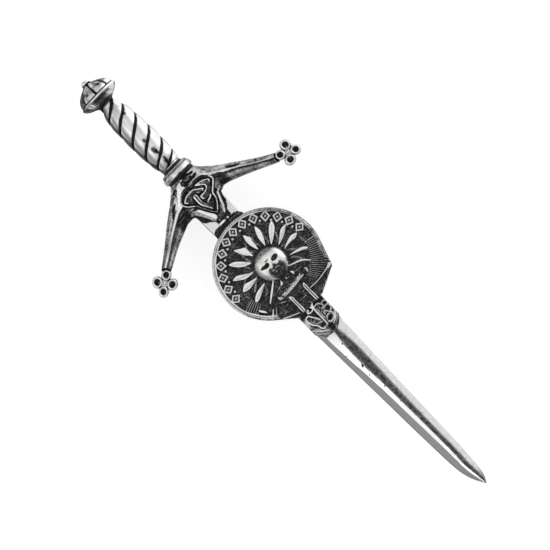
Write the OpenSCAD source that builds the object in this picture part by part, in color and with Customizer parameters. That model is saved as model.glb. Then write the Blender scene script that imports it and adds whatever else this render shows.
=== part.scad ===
// Kilt pin: a small cast claymore with a belted crest badge on its blade and a brooch pin behind it.
// Millimetres. +Z is the face and +Y runs from the point to the pommel. The pin lies on the feet of its
// brooch pin, and the origin is at the middle of the underside of its bounding box.

/* [Seats] */
// Clearance between two castings that seat on each other
seat_gap = 0.05; // [0.02:0.01:0.1]
// Angle by which the hilt leans to the left of the blade, in degrees
hilt_lean = 1.95; // [0:0.05:3]
// How far the blade's middle line is to the left of the foot of the hilt
blade_shift = 0.35; // [0:0.05:0.6]
// Height of the middle line of the round hilt pieces above their flat backs
hilt_axis = 1.5; // [1:0.1:2]

/* [Blade] */
// Length of the blade from its point to the crossguard
blade_len = 70.6; // [60:0.1:80]
// Width of the blade at the crossguard
blade_w = 6.5; // [5.5:0.1:7.5]
// Thickness of the blade at its ridges
blade_t = 1.9; // [1.5:0.1:2.6]
// Thickness of the blade's cutting edges
edge_t = 0.8; // [0.4:0.1:1.1]
// Distance between the two ridges beside the groove, at the wide end of the blade
groove_w = 3.2; // [2.4:0.1:4]
// Depth of the groove
groove_d = 0.95; // [0.4:0.05:1.1]

/* [Crossguard] */
// Height of the crossguard in its middle, along the blade
hub_h = 6.65; // [6:0.05:8]
// Thickness of the crossguard in its middle
hub_t = 4.3; // [3.6:0.1:5.5]
// Reach of one arm from the middle of the guard to its finial
arm_reach = 14.5; // [12:0.1:17]
// How far the end of an arm hangs below the middle of the guard
arm_drop = 6.4; // [4.5:0.1:7.5]

/* [Finials] */
// Radius of one ring of a quatrefoil finial
lobe_r = 1.04; // [0.9:0.02:1.3]
// Radius of the pit in a ring
pit_r = 0.56; // [0.35:0.02:0.75]
// Depth of the pit
pit_d = 0.8; // [0.4:0.05:1.2]
// Thickness of a finial
finial_t = 2; // [1.5:0.1:2.8]
// Radius of the raised pellet between the rings
pellet_r = 0.38; // [0.25:0.01:0.5]
// Turn of a finial that lifts its outer rings, in degrees
finial_turn = 8.5; // [0:0.5:20]
// Further turn of the right finial, in degrees
finial_twist = 8; // [0:0.5:15]

/* [Knot panel] */
// Half of the panel's width at its shoulders
panel_half_w = 3.5; // [3:0.1:4]
// Height of the panel from its point to the top of its arch
panel_h = 6.8; // [6:0.1:7.4]
// Width of the panel's raised border
panel_border = 0.4; // [0.25:0.05:0.6]
// Height of the border above the guard's face
border_h = 0.3; // [0.15:0.05:0.6]
// Depth of the sunk field inside the border
field_d = 0.5; // [0.2:0.05:0.8]
// Radius of the three half circles of the knot
knot_r = 2.6; // [2.2:0.05:3]
// Width of the knot's band
knot_w = 0.8; // [0.5:0.05:1]

/* [Langets] */
// How far the two langets reach down over the blade
langet_len = 3.65; // [2.5:0.05:5]
// Width of the two langets where they leave the guard
langet_root_w = 7.1; // [6:0.1:8]
// Width of the langets' shared point
langet_tip_w = 2.7; // [2:0.1:3.4]
// Height of the langets above the face of the blade
langet_t = 1.8; // [0.8:0.1:2.4]
// Width of one langet
langet_w = 0.9; // [0.6:0.05:1.2]
// Height of the two langets above the web between them
langet_rise = 0.7; // [0.2:0.05:0.9]

/* [Collar] */
// Height of the moulded collar between the crossguard and the grip
collar_h = 2.8; // [2.2:0.1:3.6]
// Width of the collar at its widest
collar_w = 6.4; // [5.6:0.1:7]

/* [Grip] */
// Length of the grip
grip_len = 15.9; // [13:0.1:19]
// Width of the grip at its widest
grip_w = 5.4; // [4.6:0.05:6]
// Length of one full turn of the twist
twist_pitch = 13; // [10:0.5:18]
// Number of strands in the twist
strands = 4; // [3:1:5]
// Depth of the grooves between the strands
strand_d = 0.5; // [0.2:0.05:0.7]

/* [Pommel] */
// Height of the pommel with its button
pommel_h = 5.95; // [5:0.05:7]
// Width of the pommel
pommel_w = 8; // [7:0.1:9.5]
// Number of ribs round the pommel
pommel_ribs = 8; // [6:2:10]
// Depth of the grooves between the ribs
rib_d = 0.3; // [0.1:0.05:0.5]

/* [Badge] */
// Radius of the round badge
badge_r = 10.1; // [9.5:0.05:11.5]
// Distance from the crossguard down to the middle of the badge
badge_drop = 15.35; // [15:0.05:18]
// How far the badge sits to the right of the blade's middle line
badge_shift = 0.25; // [0:0.05:0.4]
// Thickness of the badge's plate
badge_t = 1.3; // [0.9:0.1:1.8]
// Width of the tab that reaches up over the blade from the badge
tab_w = 6.2; // [5:0.1:7]
// How far the tab reaches past the badge
tab_len = 1.05; // [0.5:0.05:1.5]
// Width of the raised rim
rim_w = 0.45; // [0.3:0.05:0.7]
// Height of the rim above the plate
rim_h = 0.6; // [0.3:0.05:1]
// Radius of the thin ring inside the strap
ring_r = 7.35; // [6.8:0.05:7.6]
// Width of the thin ring
ring_w = 0.3; // [0.2:0.05:0.5]
// Height of the thin ring above the plate
ring_h = 0.35; // [0.2:0.05:0.7]
// Number of lozenges on the strap
lozenges = 13; // [9:1:15]
// Height of one lozenge, across the strap
lozenge_l = 1.8; // [1:0.1:2]
// Height of the strap's ornament above the plate
ornament_h = 0.4; // [0.2:0.05:0.7]

/* [Sun] */
// How far the sun sits to the right of the badge's middle
sun_shift = 0.3; // [0:0.05:0.5]
// How far the sun sits below the badge's middle
sun_drop = 0.2; // [0:0.05:0.5]
// Radius of the sun's face
face_r = 2.95; // [2.6:0.05:3.4]
// Height of the face above the plate
face_h = 1.5; // [1:0.1:2.2]
// Angle between two rays, in degrees
ray_step = 22.5; // [20:0.5:30]
// Radius of the circle that the rays' points reach
ray_reach = 7.1; // [6.4:0.05:7.2]
// Width of a ray at its widest
ray_w = 1.35; // [0.9:0.05:1.6]
// Height of the rays above the plate
ray_h = 0.7; // [0.4:0.05:1.2]
// Length of the twisted wreath under the sun
wreath_len = 6.2; // [5:0.1:7]
// How far the wreath sits to the left of the sun's middle
wreath_shift = 0.7; // [0:0.05:1]
// Thickness of the wreath
wreath_d = 0.9; // [0.6:0.05:1.1]

/* [Strap and buckle] */
// Distance between the two bars that hold the strap's end
bar_spacing = 3.3; // [2.8:0.1:3.8]
// How far the two bars sit to the right of the badge's middle
bars_shift = 0.35; // [0:0.05:0.6]
// Width of one bar
bar_w = 0.6; // [0.4:0.05:0.8]
// Length of the bars
bar_len = 3.7; // [3:0.1:4]
// Height of the bars and of the buckle above the plate
buckle_h = 0.7; // [0.4:0.05:1]

/* [Strap end] */
// Length of the strap end that hangs over the blade
chape_len = 6.6; // [5:0.1:7.5]
// Width of the strap end
chape_w = 5.8; // [5:0.1:6]
// Height of the strap end's raised border above its plate
chape_rise = 0.55; // [0.3:0.05:0.9]
// Width of the border and of the scrolls
scroll_w = 0.5; // [0.35:0.05:0.6]

/* [Brooch pin] */
// Length of the bar on the back of the blade
pin_bar_len = 49; // [42:0.5:52]
// Width of the bar
pin_bar_w = 3; // [2.4:0.1:3.6]
// Thickness of the bar
pin_bar_t = 0.7; // [0.5:0.1:1]
// Diameter of the pin's wire
wire_d = 1.2; // [1:0.05:1.6]
// Height of the gap for cloth between the wire and the bar
cloth_gap = 4.35; // [4.2:0.05:6]
// Width of the hinge and of the catch, and so of the feet that the part rests on
foot_w = 4.6; // [4.4:0.1:5.4]
// Thickness of the strip that the hinge and the catch are bent from
strip_t = 0.8; // [0.6:0.05:1]
// Length of the hinge and of the catch, along the bar
foot_len = 3.4; // [2.6:0.1:4.5]
// Clearance of the wire in the catch
catch_gap = 0.2; // [0.1:0.05:0.4]
// Length of the wire's sharpened end
point_len = 5; // [3:0.5:8]

/* [Hidden] */
$fn = 48;
// A length that cuts clean through anything here
beyond = 200;

// Heights above the surface, from the feet up
wire_z = strip_t + catch_gap + wire_d / 2;
bar_z = wire_z + wire_d / 2 + cloth_gap;
back_z = bar_z + pin_bar_t + seat_gap;
blade_face_z = back_z + blade_t;
badge_z = blade_face_z + seat_gap;

// Places along the sword, from the point up
lean_room = blade_w / 2 * tan(hilt_lean);
total_len = blade_len + hub_h + collar_h + grip_len + pommel_h + lean_room + 4 * seat_gap;
point_y = -total_len / 2;
blade_top_y = point_y + blade_len;
guard_y = blade_top_y + lean_room + seat_gap;
badge_y = guard_y - badge_drop;

// Places above the foot of the crossguard, in the hilt's own leaning frame
collar_y = hub_h + seat_gap;
grip_y = collar_y + collar_h + seat_gap;
pommel_y = grip_y + grip_len + seat_gap;

silver = [0.72, 0.72, 0.7];
aged_silver = [0.6, 0.6, 0.58];
nickel = [0.66, 0.65, 0.62];

// Faces of a solid lofted through rings of n points each
function loft_faces(rings, n) = concat(
    [[for (i = [0 : n - 1]) i]],
    [for (k = [0 : rings - 2], i = [0 : n - 1])
        [k * n + i, (k + 1) * n + i, (k + 1) * n + (i + 1) % n, k * n + (i + 1) % n]],
    [[for (i = [n - 1 : -1 : 0]) (rings - 1) * n + i]]);

module loft(rings) {
    n = len(rings[0]);
    polyhedron([for (ring = rings, p = ring) p], loft_faces(len(rings), n), convexity = 6);
}

// Points on an arc of an ellipse from angle a to angle b
function arc(rx, ry, a, b, steps = 12) =
    [for (i = [0 : steps]) let (t = a + (b - a) * i / steps) [rx * cos(t), ry * sin(t)]];

function reversed(points) = [for (i = [len(points) - 1 : -1 : 0]) points[i]];

// A bar of one width between two points, extruded
module bar_between(p, q, width, height) {
    run = q - p;
    translate([p.x, p.y, 0])
        rotate(atan2(run.y, run.x))
            translate([0, -width / 2, 0])
                cube([norm(run), width, height]);
}

// What is above the flat back of the hilt
module flat_backed() {
    intersection() {
        children();
        translate([-beyond / 2, -beyond / 2, back_z])
            cube(beyond);
    }
}

// The hilt pieces are drawn upright from the foot of the crossguard, and stand here in their place
module on_hilt() {
    translate([0, guard_y, 0])
        rotate(hilt_lean)
            children();
}

// The badge is drawn round its own middle, on its plate's underside
module on_badge() {
    translate([badge_shift - blade_shift, badge_y, badge_z])
        children();
}

// Blade sections: station, half width, ridge place, thickness and groove depth, each a share of
// blade_len, half of blade_w, half of groove_w, blade_t and groove_d
blade_rows = [
    [0, 0.03, 0.01, 0.5, 0],
    [0.006, 0.11, 0.08, 0.58, 0.2],
    [0.021, 0.26, 0.22, 0.68, 0.5],
    [0.05, 0.43, 0.34, 0.76, 0.7],
    [0.1, 0.555, 0.44, 0.82, 0.82],
    [0.156, 0.6, 0.5, 0.86, 0.9],
    [0.297, 0.7, 0.62, 0.92, 0.96],
    [0.44, 0.77, 0.72, 0.96, 1],
    [0.552, 0.84, 0.8, 1, 1],
    [0.6, 0.865, 0.82, 1, 0.9],
    [0.66, 0.89, 0.85, 1, 0],
    [1, 1, 1, 1, 0]];

function blade_section(row) =
    let (y = point_y + row[0] * blade_len,
         half = row[1] * blade_w / 2,
         ridge = min(row[2] * groove_w / 2, half * 0.9),
         thick = row[3] * blade_t,
         edge = edge_t * (0.4 + 0.6 * row[3]),
         valley = thick - row[4] * groove_d)
    [[-half, y, back_z], [-half, y, back_z + min(edge, thick)], [-ridge, y, back_z + thick],
     [0, y, back_z + valley],
     [ridge, y, back_z + thick], [half, y, back_z + min(edge, thick)], [half, y, back_z]];

module blade() {
    color(silver)
        translate([-blade_shift, 0, 0])
            loft([for (row = blade_rows) blade_section(row)]);
}

// Arm sections from the middle of the guard out: reach, drop, depth, thickness and width of the flat
// face, shares of arm_reach, arm_drop, hub_h, hub_t and of half the depth
arm_rows = [
    [0, 0, 1, 1, 0.72],
    [0.14, 0, 1, 1, 0.7],
    [0.205, 0, 1, 0.93, 0.5],
    [0.235, 0.02, 0.915, 0.88, 0.36],
    [0.29, 0.066, 0.75, 0.8, 0.2],
    [0.43, 0.2, 0.625, 0.7, 0.12],
    [0.63, 0.473, 0.48, 0.6, 0.12],
    [0.815, 0.72, 0.345, 0.53, 0.14],
    [1, 1, 0.265, 0.47, 0.16]];
// Where an arm's ridge runs and how high its upright edges are, shares of half its depth and of its
// thickness
arm_ridge = 0.1;
arm_edge = 0.5;

function arm_section(row) =
    let (x = row[0] * arm_reach,
         middle = hub_h / 2 - row[1] * arm_drop,
         half = row[2] * hub_h / 2,
         thick = row[3] * hub_t)
    [[x, middle + half, back_z], [x, middle + half, back_z + arm_edge * thick],
     [x, middle + (arm_ridge + row[4]) * half, back_z + thick],
     [x, middle + (arm_ridge - row[4]) * half, back_z + thick],
     [x, middle - half, back_z + arm_edge * thick], [x, middle - half, back_z]];

// Both arms and the middle of the guard are one run of sections from end to end
module arms() {
    left = [for (row = reversed(arm_rows)) [for (p = arm_section(row)) [-p.x, p.y, p.z]]];
    right = [for (k = [1 : len(arm_rows) - 1]) arm_section(arm_rows[k])];
    loft(concat(left, right));
}

// Four pitted rings round a pellet. The rings' middles stand on the corners of a square.
finial_place = [1.63, 1.145];
finial_web = 0.6;
module finial(turn) {
    spread = lobe_r * 0.97;
    translate([arm_reach + spread * finial_place.x, hub_h / 2 - arm_drop * finial_place.y, back_z])
        rotate(turn) {
            difference() {
                union() {
                    for (sx = [-1, 1], sy = [-1, 1])
                        translate([sx * spread, sy * spread, 0])
                            finial_ring();
                    translate([-spread, -spread, 0])
                        cube([2 * spread, 2 * spread, finial_t * finial_web]);
                }
                for (sx = [-1, 1], sy = [-1, 1])
                    translate([sx * spread, sy * spread, finial_t - pit_d])
                        cylinder(r = pit_r, h = finial_t);
            }
            cylinder(r1 = pellet_r * 1.4, r2 = pellet_r * 0.7, h = finial_t);
        }
}

module finial_ring() {
    cylinder(r = lobe_r, h = finial_t - lobe_r * 0.25);
    translate([0, 0, finial_t - lobe_r * 0.25])
        cylinder(r1 = lobe_r, r2 = lobe_r * 0.75, h = lobe_r * 0.25);
}

// The panel's outline, from its point round its arch, as shares of half its width and of its height
panel_point_y = -0.293 * hub_h;
module panel_outline() {
    shoulder = panel_h * 0.73;
    translate([0, panel_point_y])
        polygon(concat(
            [[0, 0], [0.46 * panel_half_w, 0.42 * panel_h]],
            [for (p = arc(panel_half_w, panel_h - shoulder, 0, 180)) [p.x, p.y + shoulder]],
            [[-0.46 * panel_half_w, 0.42 * panel_h]]));
}

// One of the knot's half circles, squashed to the panel's proportions
knot_squash = 0.8;
module knot_arc(turn, height) {
    centre = [knot_r / sqrt(3) * cos(turn), knot_r / sqrt(3) * sin(turn)];
    outer = arc(knot_r + knot_w / 2, knot_r + knot_w / 2, turn + 90, turn + 270, 18);
    inner = arc(knot_r - knot_w / 2, knot_r - knot_w / 2, turn + 270, turn + 90, 18);
    linear_extrude(height)
        polygon([for (p = concat(outer, inner)) [p.x + centre.x, (p.y + centre.y) * knot_squash]]);
}

// The web over the blade and its two raised langets
module langets() {
    top = hub_h * 0.12;
    half_top = langet_root_w / 2;
    half_tip = langet_tip_w / 2;
    inner_top = half_top - langet_w * 1.2;
    inner_tip = half_tip - langet_w;
    translate([0, 0, blade_face_z + seat_gap]) {
        linear_extrude(langet_t - langet_rise)
            polygon([[-half_top, top], [half_top, top], [half_tip, -langet_len], [-half_tip, -langet_len]]);
        for (side = [-1, 1])
            linear_extrude(langet_t)
                polygon([[side * half_top, top], [side * half_tip, -langet_len],
                    [side * inner_tip, -langet_len], [side * inner_top, top]]);
        translate([-half_tip * 0.8, -langet_len, 0])
            cube([half_tip * 1.6, langet_w * 0.6, langet_t - langet_rise / 2]);
    }
}

module crossguard() {
    face_z = back_z + hub_t;
    color(aged_silver)
        on_hilt() {
            difference() {
                union() {
                    arms();
                    translate([0, 0, blade_face_z + seat_gap])
                        linear_extrude(face_z + border_h - blade_face_z - seat_gap)
                            panel_outline();
                    langets();
                }
                translate([0, 0, face_z - field_d])
                    linear_extrude(hub_t)
                        offset(delta = -panel_border)
                            panel_outline();
                translate([-panel_half_w * 0.47, hub_h * 0.79, face_z - field_d])
                    cube([panel_half_w * 0.94, hub_h * 0.17, hub_t]);
            }
            translate([0, panel_point_y + panel_h * 0.565, face_z - field_d])
                for (turn = [90, 210, 330])
                    knot_arc(turn, field_d + border_h * 0.6);
            finial(finial_turn + finial_twist);
            mirror([1, 0, 0])
                finial(finial_turn);
        }
}

// Collar profile: radius and station, shares of half of collar_w and of collar_h
collar_rows = [[0, 0], [0.93, 0], [0.93, 0.05], [0.9, 0.1], [0.97, 0.15], [1, 0.22], [0.99, 0.38],
    [0.955, 0.52], [0.9, 0.61], [0.855, 0.65], [0.88, 0.7], [0.86, 0.76], [0.78, 0.81], [0.66, 0.86],
    [0.64, 1], [0, 1]];

module collar() {
    color(silver)
        on_hilt()
            flat_backed()
                translate([0, collar_y, back_z + hilt_axis])
                    rotate([90, 0, 0])
                        mirror([0, 0, 1])
                            rotate_extrude($fn = 64)
                                polygon([for (p = collar_rows) [p[0] * collar_w / 2, p[1] * collar_h]]);
}

// A ring of a round, flat-backed loft: the groove function runs from 0 in a groove to 1 on a crown
function crown(phase, sharpness) = pow(abs(sin(phase / 2)), sharpness);
function round_point(radius, angle, y) =
    [radius * sin(angle), y, back_z + max(hilt_axis + radius * cos(angle), 0)];

// Grip profile: station and radius, shares of grip_len and of half of grip_w
grip_rows = [[0, 0.75], [0.05, 0.82], [0.11, 0.9], [0.17, 0.935], [0.3, 0.985], [0.4, 1], [0.5, 1],
    [0.6, 0.96], [0.74, 0.945], [0.8, 0.9], [0.865, 0.82], [0.9, 0.765], [0.94, 0.66], [1, 0.58]];
grip_rings = 32;
grip_sides = 40;

function grip_ring(share) =
    [for (i = [0 : grip_sides - 1])
        let (angle = 360 * i / grip_sides,
             y = share * grip_len,
             phase = strands * (angle - 360 * (y - 2.4) / twist_pitch),
             radius = lookup(share, grip_rows) * grip_w / 2)
        round_point(radius - strand_d * (1 - crown(phase, 0.6)), angle, grip_y + y)];

module grip() {
    color(silver)
        on_hilt()
            loft([for (k = [0 : grip_rings]) grip_ring(k / grip_rings)]);
}

// Pommel profile: station, radius and depth of the rib grooves, shares of pommel_h, of half of
// pommel_w and of rib_d
pommel_rows = [[0, 0.4, 0], [0.03, 0.42, 0], [0.085, 0.54, 0], [0.16, 0.755, 0], [0.245, 0.905, 0],
    [0.33, 0.98, 0], [0.37, 1, 0], [0.405, 0.995, 0], [0.43, 0.955, 0.4], [0.5, 0.935, 1], [0.58, 0.873, 1],
    [0.664, 0.752, 1], [0.748, 0.557, 1], [0.8, 0.38, 0.8], [0.83, 0.25, 0.4], [0.86, 0.185, 0],
    [0.885, 0.205, 0], [0.93, 0.175, 0], [0.975, 0.11, 0], [1, 0.04, 0]];
pommel_sides = 64;

function pommel_ring(row) =
    [for (i = [0 : pommel_sides - 1])
        let (angle = 360 * i / pommel_sides)
        round_point(row[1] * pommel_w / 2 - row[2] * rib_d * (1 - crown(pommel_ribs * angle, 0.6)), angle,
            pommel_y + row[0] * pommel_h)];

module pommel() {
    color(aged_silver)
        on_hilt()
            loft([for (row = pommel_rows) pommel_ring(row)]);
}

// The badge's outline as shares of its radius: a circle, and below it the strap's fold, which stands
// out at the right, and two straight sides that run in to the strap end
badge_outline = concat(
    arc(1, 1, -16, 231, 60),
    [[-0.304, -1.04], [0.27, -1.05], [0.775, -0.8], [0.805, -0.735]]);

module badge_plate(height, inset) {
    linear_extrude(height)
        offset(delta = -inset)
            polygon([for (p = badge_outline) p * badge_r]);
}

// A pointed ray, widest past its middle, as shares of its length and of its half width
ray_outline = [[0, 0.3], [0.3, 0.65], [0.55, 1], [0.75, 0.85], [0.92, 0.4], [1, 0.04]];
module ray(reach) {
    start = face_r * 0.9;
    length = reach - start;
    half = ray_w / 2;
    linear_extrude(ray_h)
        polygon(concat(
            [for (p = ray_outline) [start + p[0] * length, p[1] * half]],
            [for (p = reversed(ray_outline)) [start + p[0] * length, -p[1] * half]]));
}

// The rays that show stand this many steps to each side of the upright one
ray_sides = 6;
module sun() {
    for (k = [-ray_sides : ray_sides])
        rotate(90 + k * ray_step)
            ray(abs(k) == ray_sides ? ray_reach * 0.86 : ray_reach);
    // A cap of the sphere that has the face's radius and height
    ball = (pow(face_r, 2) + pow(face_h, 2)) / (2 * face_h);
    intersection() {
        translate([0, 0, face_h - ball])
            sphere(r = ball);
        cylinder(r = badge_r, h = face_h * 2);
    }
    // The wreath, with the notches between its twists
    translate([-wreath_shift, -ray_reach * 0.77, 0])
        difference() {
            translate([-wreath_len / 2, -wreath_d / 2, 0])
                cube([wreath_len, wreath_d, ray_h]);
            for (k = [-2 : 2])
                translate([k * wreath_len / 6 - wreath_d * 0.35, -wreath_d, ray_h * 0.6])
                    rotate(-35)
                        cube([wreath_d * 0.3, wreath_d * 3, ray_h]);
        }
}

// Lozenges round the upper part of the strap, with a pellet between each two
module strap_ornament() {
    middle_r = (ring_r + ring_w / 2 + badge_r - rim_w) / 2;
    step = 176 / (lozenges - 1);
    for (k = [0 : lozenges - 1])
        rotate(6 + k * step)
            translate([middle_r, 0, 0])
                cylinder(r = lozenge_l / 2, h = ornament_h, $fn = 4);
    for (k = [0 : lozenges - 2])
        rotate(6 + (k + 0.5) * step)
            translate([middle_r, 0, 0])
                cylinder(r = lozenge_l * 0.16, h = ornament_h * 0.8);
}

// The buckle's frame, its two bars and the fold of the strap, at the foot of the badge
module buckle() {
    foot = -badge_r * 1.03;
    for (side = [-0.5, 0.5])
        translate([bars_shift + side * bar_spacing - bar_w / 2, foot, 0])
            cube([bar_w, bar_len, buckle_h]);
    bar_between([-0.452, -0.604] * badge_r, [-0.566, -0.772] * badge_r, bar_w * 0.8, buckle_h);
    bar_between([-0.55, -0.77] * badge_r, [-0.215, -0.97] * badge_r, bar_w * 0.8, buckle_h);
    bar_between([-0.532, -0.614] * badge_r, [-0.625, -0.725] * badge_r, bar_w * 0.7, buckle_h * 0.8);
    bar_between([0.24, -0.807] * badge_r, [0.755, -0.74] * badge_r, bar_w, buckle_h);
    translate([bars_shift, foot + bar_len * 0.62, 0])
        cylinder(r = bar_w * 0.55, h = buckle_h * 0.6);
}

// The strap end: a plate with a rounded foot, a border, a stem and two pierced-looking scrolls
module chape_outline(inset) {
    half = chape_w / 2 - inset;
    straight = chape_len * 0.72;
    polygon(concat(
        [[-half, 0], [half, 0]],
        [for (p = arc(half, chape_len - straight - inset, 0, -180)) [p.x, p.y - straight]]));
}

module strap_end() {
    translate([0, -badge_r * 0.985, 0]) {
        linear_extrude(badge_t - chape_rise)
            chape_outline(0);
        linear_extrude(badge_t)
            difference() {
                chape_outline(0);
                chape_outline(scroll_w);
            }
        translate([-scroll_w / 2, -chape_len * 0.8, 0])
            cube([scroll_w, chape_len * 0.75, badge_t]);
        translate([-chape_w * 0.24, -chape_len * 0.36, 0])
            rotate(-22)
                scroll(chape_w * 0.15, chape_len * 0.24);
        for (place = [[0.15, -0.24], [0.3, -0.3], [0.2, -0.5]])
            translate([place.x * chape_w, place.y * chape_len, 0])
                scroll(chape_w * 0.11, chape_len * 0.1);
    }
}

// A loop of the strap end's scrollwork, with its pit sunk to the plate
module scroll(rx, ry) {
    linear_extrude(badge_t)
        difference() {
            polygon(arc(rx + scroll_w / 2, ry + scroll_w / 2, 0, 345, 18));
            polygon(arc(rx * 0.55, ry * 0.55, 0, 345, 12));
        }
}

module crest_badge() {
    color(aged_silver)
        on_badge() {
            badge_plate(badge_t, 0);
            difference() {
                badge_plate(badge_t + rim_h, 0);
                translate([0, 0, -badge_t])
                    badge_plate(badge_t * 3 + rim_h, rim_w);
            }
            difference() {
                cylinder(r = ring_r + ring_w / 2, h = badge_t + ring_h, $fn = 96);
                translate([0, 0, -badge_t])
                    cylinder(r = ring_r - ring_w / 2, h = badge_t * 3 + ring_h, $fn = 96);
                translate([-beyond / 2, -beyond - badge_r * 0.5, -badge_t])
                    cube([beyond, beyond, badge_t * 5]);
            }
            translate([-tab_w / 2, 0, 0])
                cube([tab_w, badge_r + tab_len, badge_t / 2]);
            translate([0, 0, badge_t]) {
                translate([sun_shift, -sun_drop, 0])
                    sun();
                strap_ornament();
                buckle();
            }
            strap_end();
        }
}

// The catch: a strip bent down from the bar, under the wire and up past its middle, with a flat foot
module catch() {
    half = foot_w / 2;
    lip = wire_z + wire_d * 0.8;
    rotate([90, 0, 0])
        linear_extrude(foot_len, center = true)
            polygon([[half, bar_z + pin_bar_t], [half, 0], [-half, 0], [-half, lip], [strip_t - half, lip],
                [strip_t - half, strip_t], [half - strip_t, strip_t], [half - strip_t, bar_z],
                [-pin_bar_w / 2, bar_z], [-pin_bar_w / 2, bar_z + pin_bar_t]]);
}

// The hinge: a strip bent down on both sides of the wire's thick end, which is fast in it
module hinge() {
    half = foot_w / 2;
    translate([-half, -foot_len / 2, 0])
        difference() {
            cube([foot_w, foot_len, bar_z + pin_bar_t]);
            translate([strip_t, -foot_len / 2, wire_z + wire_d])
                cube([foot_w - 2 * strip_t, foot_len * 2, bar_z - wire_z - wire_d]);
            translate([strip_t, -foot_len / 2, -strip_t])
                cube([foot_w - 2 * strip_t, foot_len * 2, strip_t + wire_z - wire_d]);
        }
}

module brooch_pin() {
    hinge_y = guard_y + hub_h * 0.5;
    catch_y = hinge_y - pin_bar_len + foot_len;
    wire_len = hinge_y - catch_y + foot_len;
    color(nickel)
        translate([-blade_shift, 0, 0]) {
            translate([-pin_bar_w / 2, catch_y - foot_len / 2, bar_z])
                cube([pin_bar_w, pin_bar_len, pin_bar_t]);
            translate([0, hinge_y, 0])
                hinge();
            translate([0, catch_y, 0])
                catch();
            translate([0, hinge_y, wire_z])
                rotate([90, 0, 0]) {
                    cylinder(d = wire_d, h = wire_len - point_len);
                    translate([0, 0, wire_len - point_len])
                        cylinder(d1 = wire_d, d2 = wire_d * 0.2, h = point_len);
                }
        }
}

blade();
crossguard();
collar();
grip();
pommel();
crest_badge();
brooch_pin();
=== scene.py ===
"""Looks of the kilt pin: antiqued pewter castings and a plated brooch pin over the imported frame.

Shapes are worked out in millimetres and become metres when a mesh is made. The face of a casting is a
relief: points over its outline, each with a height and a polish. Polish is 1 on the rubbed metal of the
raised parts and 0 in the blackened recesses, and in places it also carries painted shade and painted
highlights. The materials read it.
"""
from math import cos, hypot, pi, radians, sin, sqrt, tan

import bpy
import numpy as np
from mathutils import Matrix, Vector


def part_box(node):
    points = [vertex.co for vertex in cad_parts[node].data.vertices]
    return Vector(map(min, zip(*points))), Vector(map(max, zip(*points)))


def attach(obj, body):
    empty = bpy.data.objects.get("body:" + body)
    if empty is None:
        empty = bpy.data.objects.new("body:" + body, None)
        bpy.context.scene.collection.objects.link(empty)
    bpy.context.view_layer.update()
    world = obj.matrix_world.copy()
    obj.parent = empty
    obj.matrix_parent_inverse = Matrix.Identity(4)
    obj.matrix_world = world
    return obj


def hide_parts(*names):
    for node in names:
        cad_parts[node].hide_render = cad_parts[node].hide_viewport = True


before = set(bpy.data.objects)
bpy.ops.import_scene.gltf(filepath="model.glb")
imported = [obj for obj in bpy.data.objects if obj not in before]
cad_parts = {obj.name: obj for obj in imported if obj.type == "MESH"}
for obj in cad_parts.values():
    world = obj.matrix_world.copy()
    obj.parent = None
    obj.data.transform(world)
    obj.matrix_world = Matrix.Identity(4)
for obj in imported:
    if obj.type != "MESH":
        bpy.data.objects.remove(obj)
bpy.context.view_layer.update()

# Millimetres to metres, and the CAD's own driving sizes in millimetres
MM = 0.001
SEAT_GAP = 0.05
CAD_LEAN = radians(1.95)
HUB_H = 6.65
HUB_T = 4.3
COLLAR_H = 2.8
GRIP_LEN = 15.9
POMMEL_H = 5.95
HILT_AXIS = 1.5
ARM_REACH = 14.5
ARM_DROP = 6.4
BADGE_T = 1.3
TAB_LEN = 1.05


def node_box(name):
    """Lowest and highest corner of a CAD node, in millimetres."""
    low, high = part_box(name)
    return np.array(low) / MM, np.array(high) / MM


blade_low, blade_high = node_box("blade")
badge_low, badge_high = node_box("crest_badge")
pin_low, pin_high = node_box("brooch_pin")
BLADE_X = (blade_low[0] + blade_high[0]) / 2
BLADE_HALF = (blade_high[0] - blade_low[0]) / 2
BACK_Z = blade_low[2]
BLADE_T = blade_high[2] - BACK_Z
GUARD_Y = blade_high[1] + BLADE_HALF * tan(CAD_LEAN) + SEAT_GAP
BADGE_R = (badge_high[0] - badge_low[0]) / 2
BADGE_X = (badge_low[0] + badge_high[0]) / 2
BADGE_Y = badge_high[1] - BADGE_R - TAB_LEN
BADGE_Z = badge_low[2]
COLLAR_Y = HUB_H + SEAT_GAP
GRIP_Y = COLLAR_Y + COLLAR_H + SEAT_GAP
POMMEL_Y = GRIP_Y + GRIP_LEN + SEAT_GAP


# Numbers over a surface

def ramp(a, b, x):
    """Rises smoothly from 0 where x is a to 1 where it is b."""
    t = np.clip((x - a) / (b - a), 0.0, 1.0)
    return t * t * (3 - 2 * t)


def grain(x, y, cell, seed):
    """Smooth random values from -1 to 1 that change over one cell."""
    table = np.random.default_rng(seed).uniform(-1, 1, (128, 128))
    u, v = x / cell + 40.3, y / cell + 40.7
    i, j = np.floor(u).astype(int), np.floor(v).astype(int)
    fu, fv = ramp(0, 1, u - i), ramp(0, 1, v - j)
    i, j, i2, j2 = i % 128, j % 128, (i + 1) % 128, (j + 1) % 128
    low = table[i, j] * (1 - fu) + table[i2, j] * fu
    high = table[i, j2] * (1 - fu) + table[i2, j2] * fu
    return low * (1 - fv) + high * fv


def grit(x, y, seed):
    """The rough skin of a casting's recess, from -1 to 1."""
    return (0.5 * grain(x, y, 0.42, seed) + 0.3 * grain(x, y, 0.21, seed + 1)
            + 0.2 * grain(x, y, 0.11, seed + 2))


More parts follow.
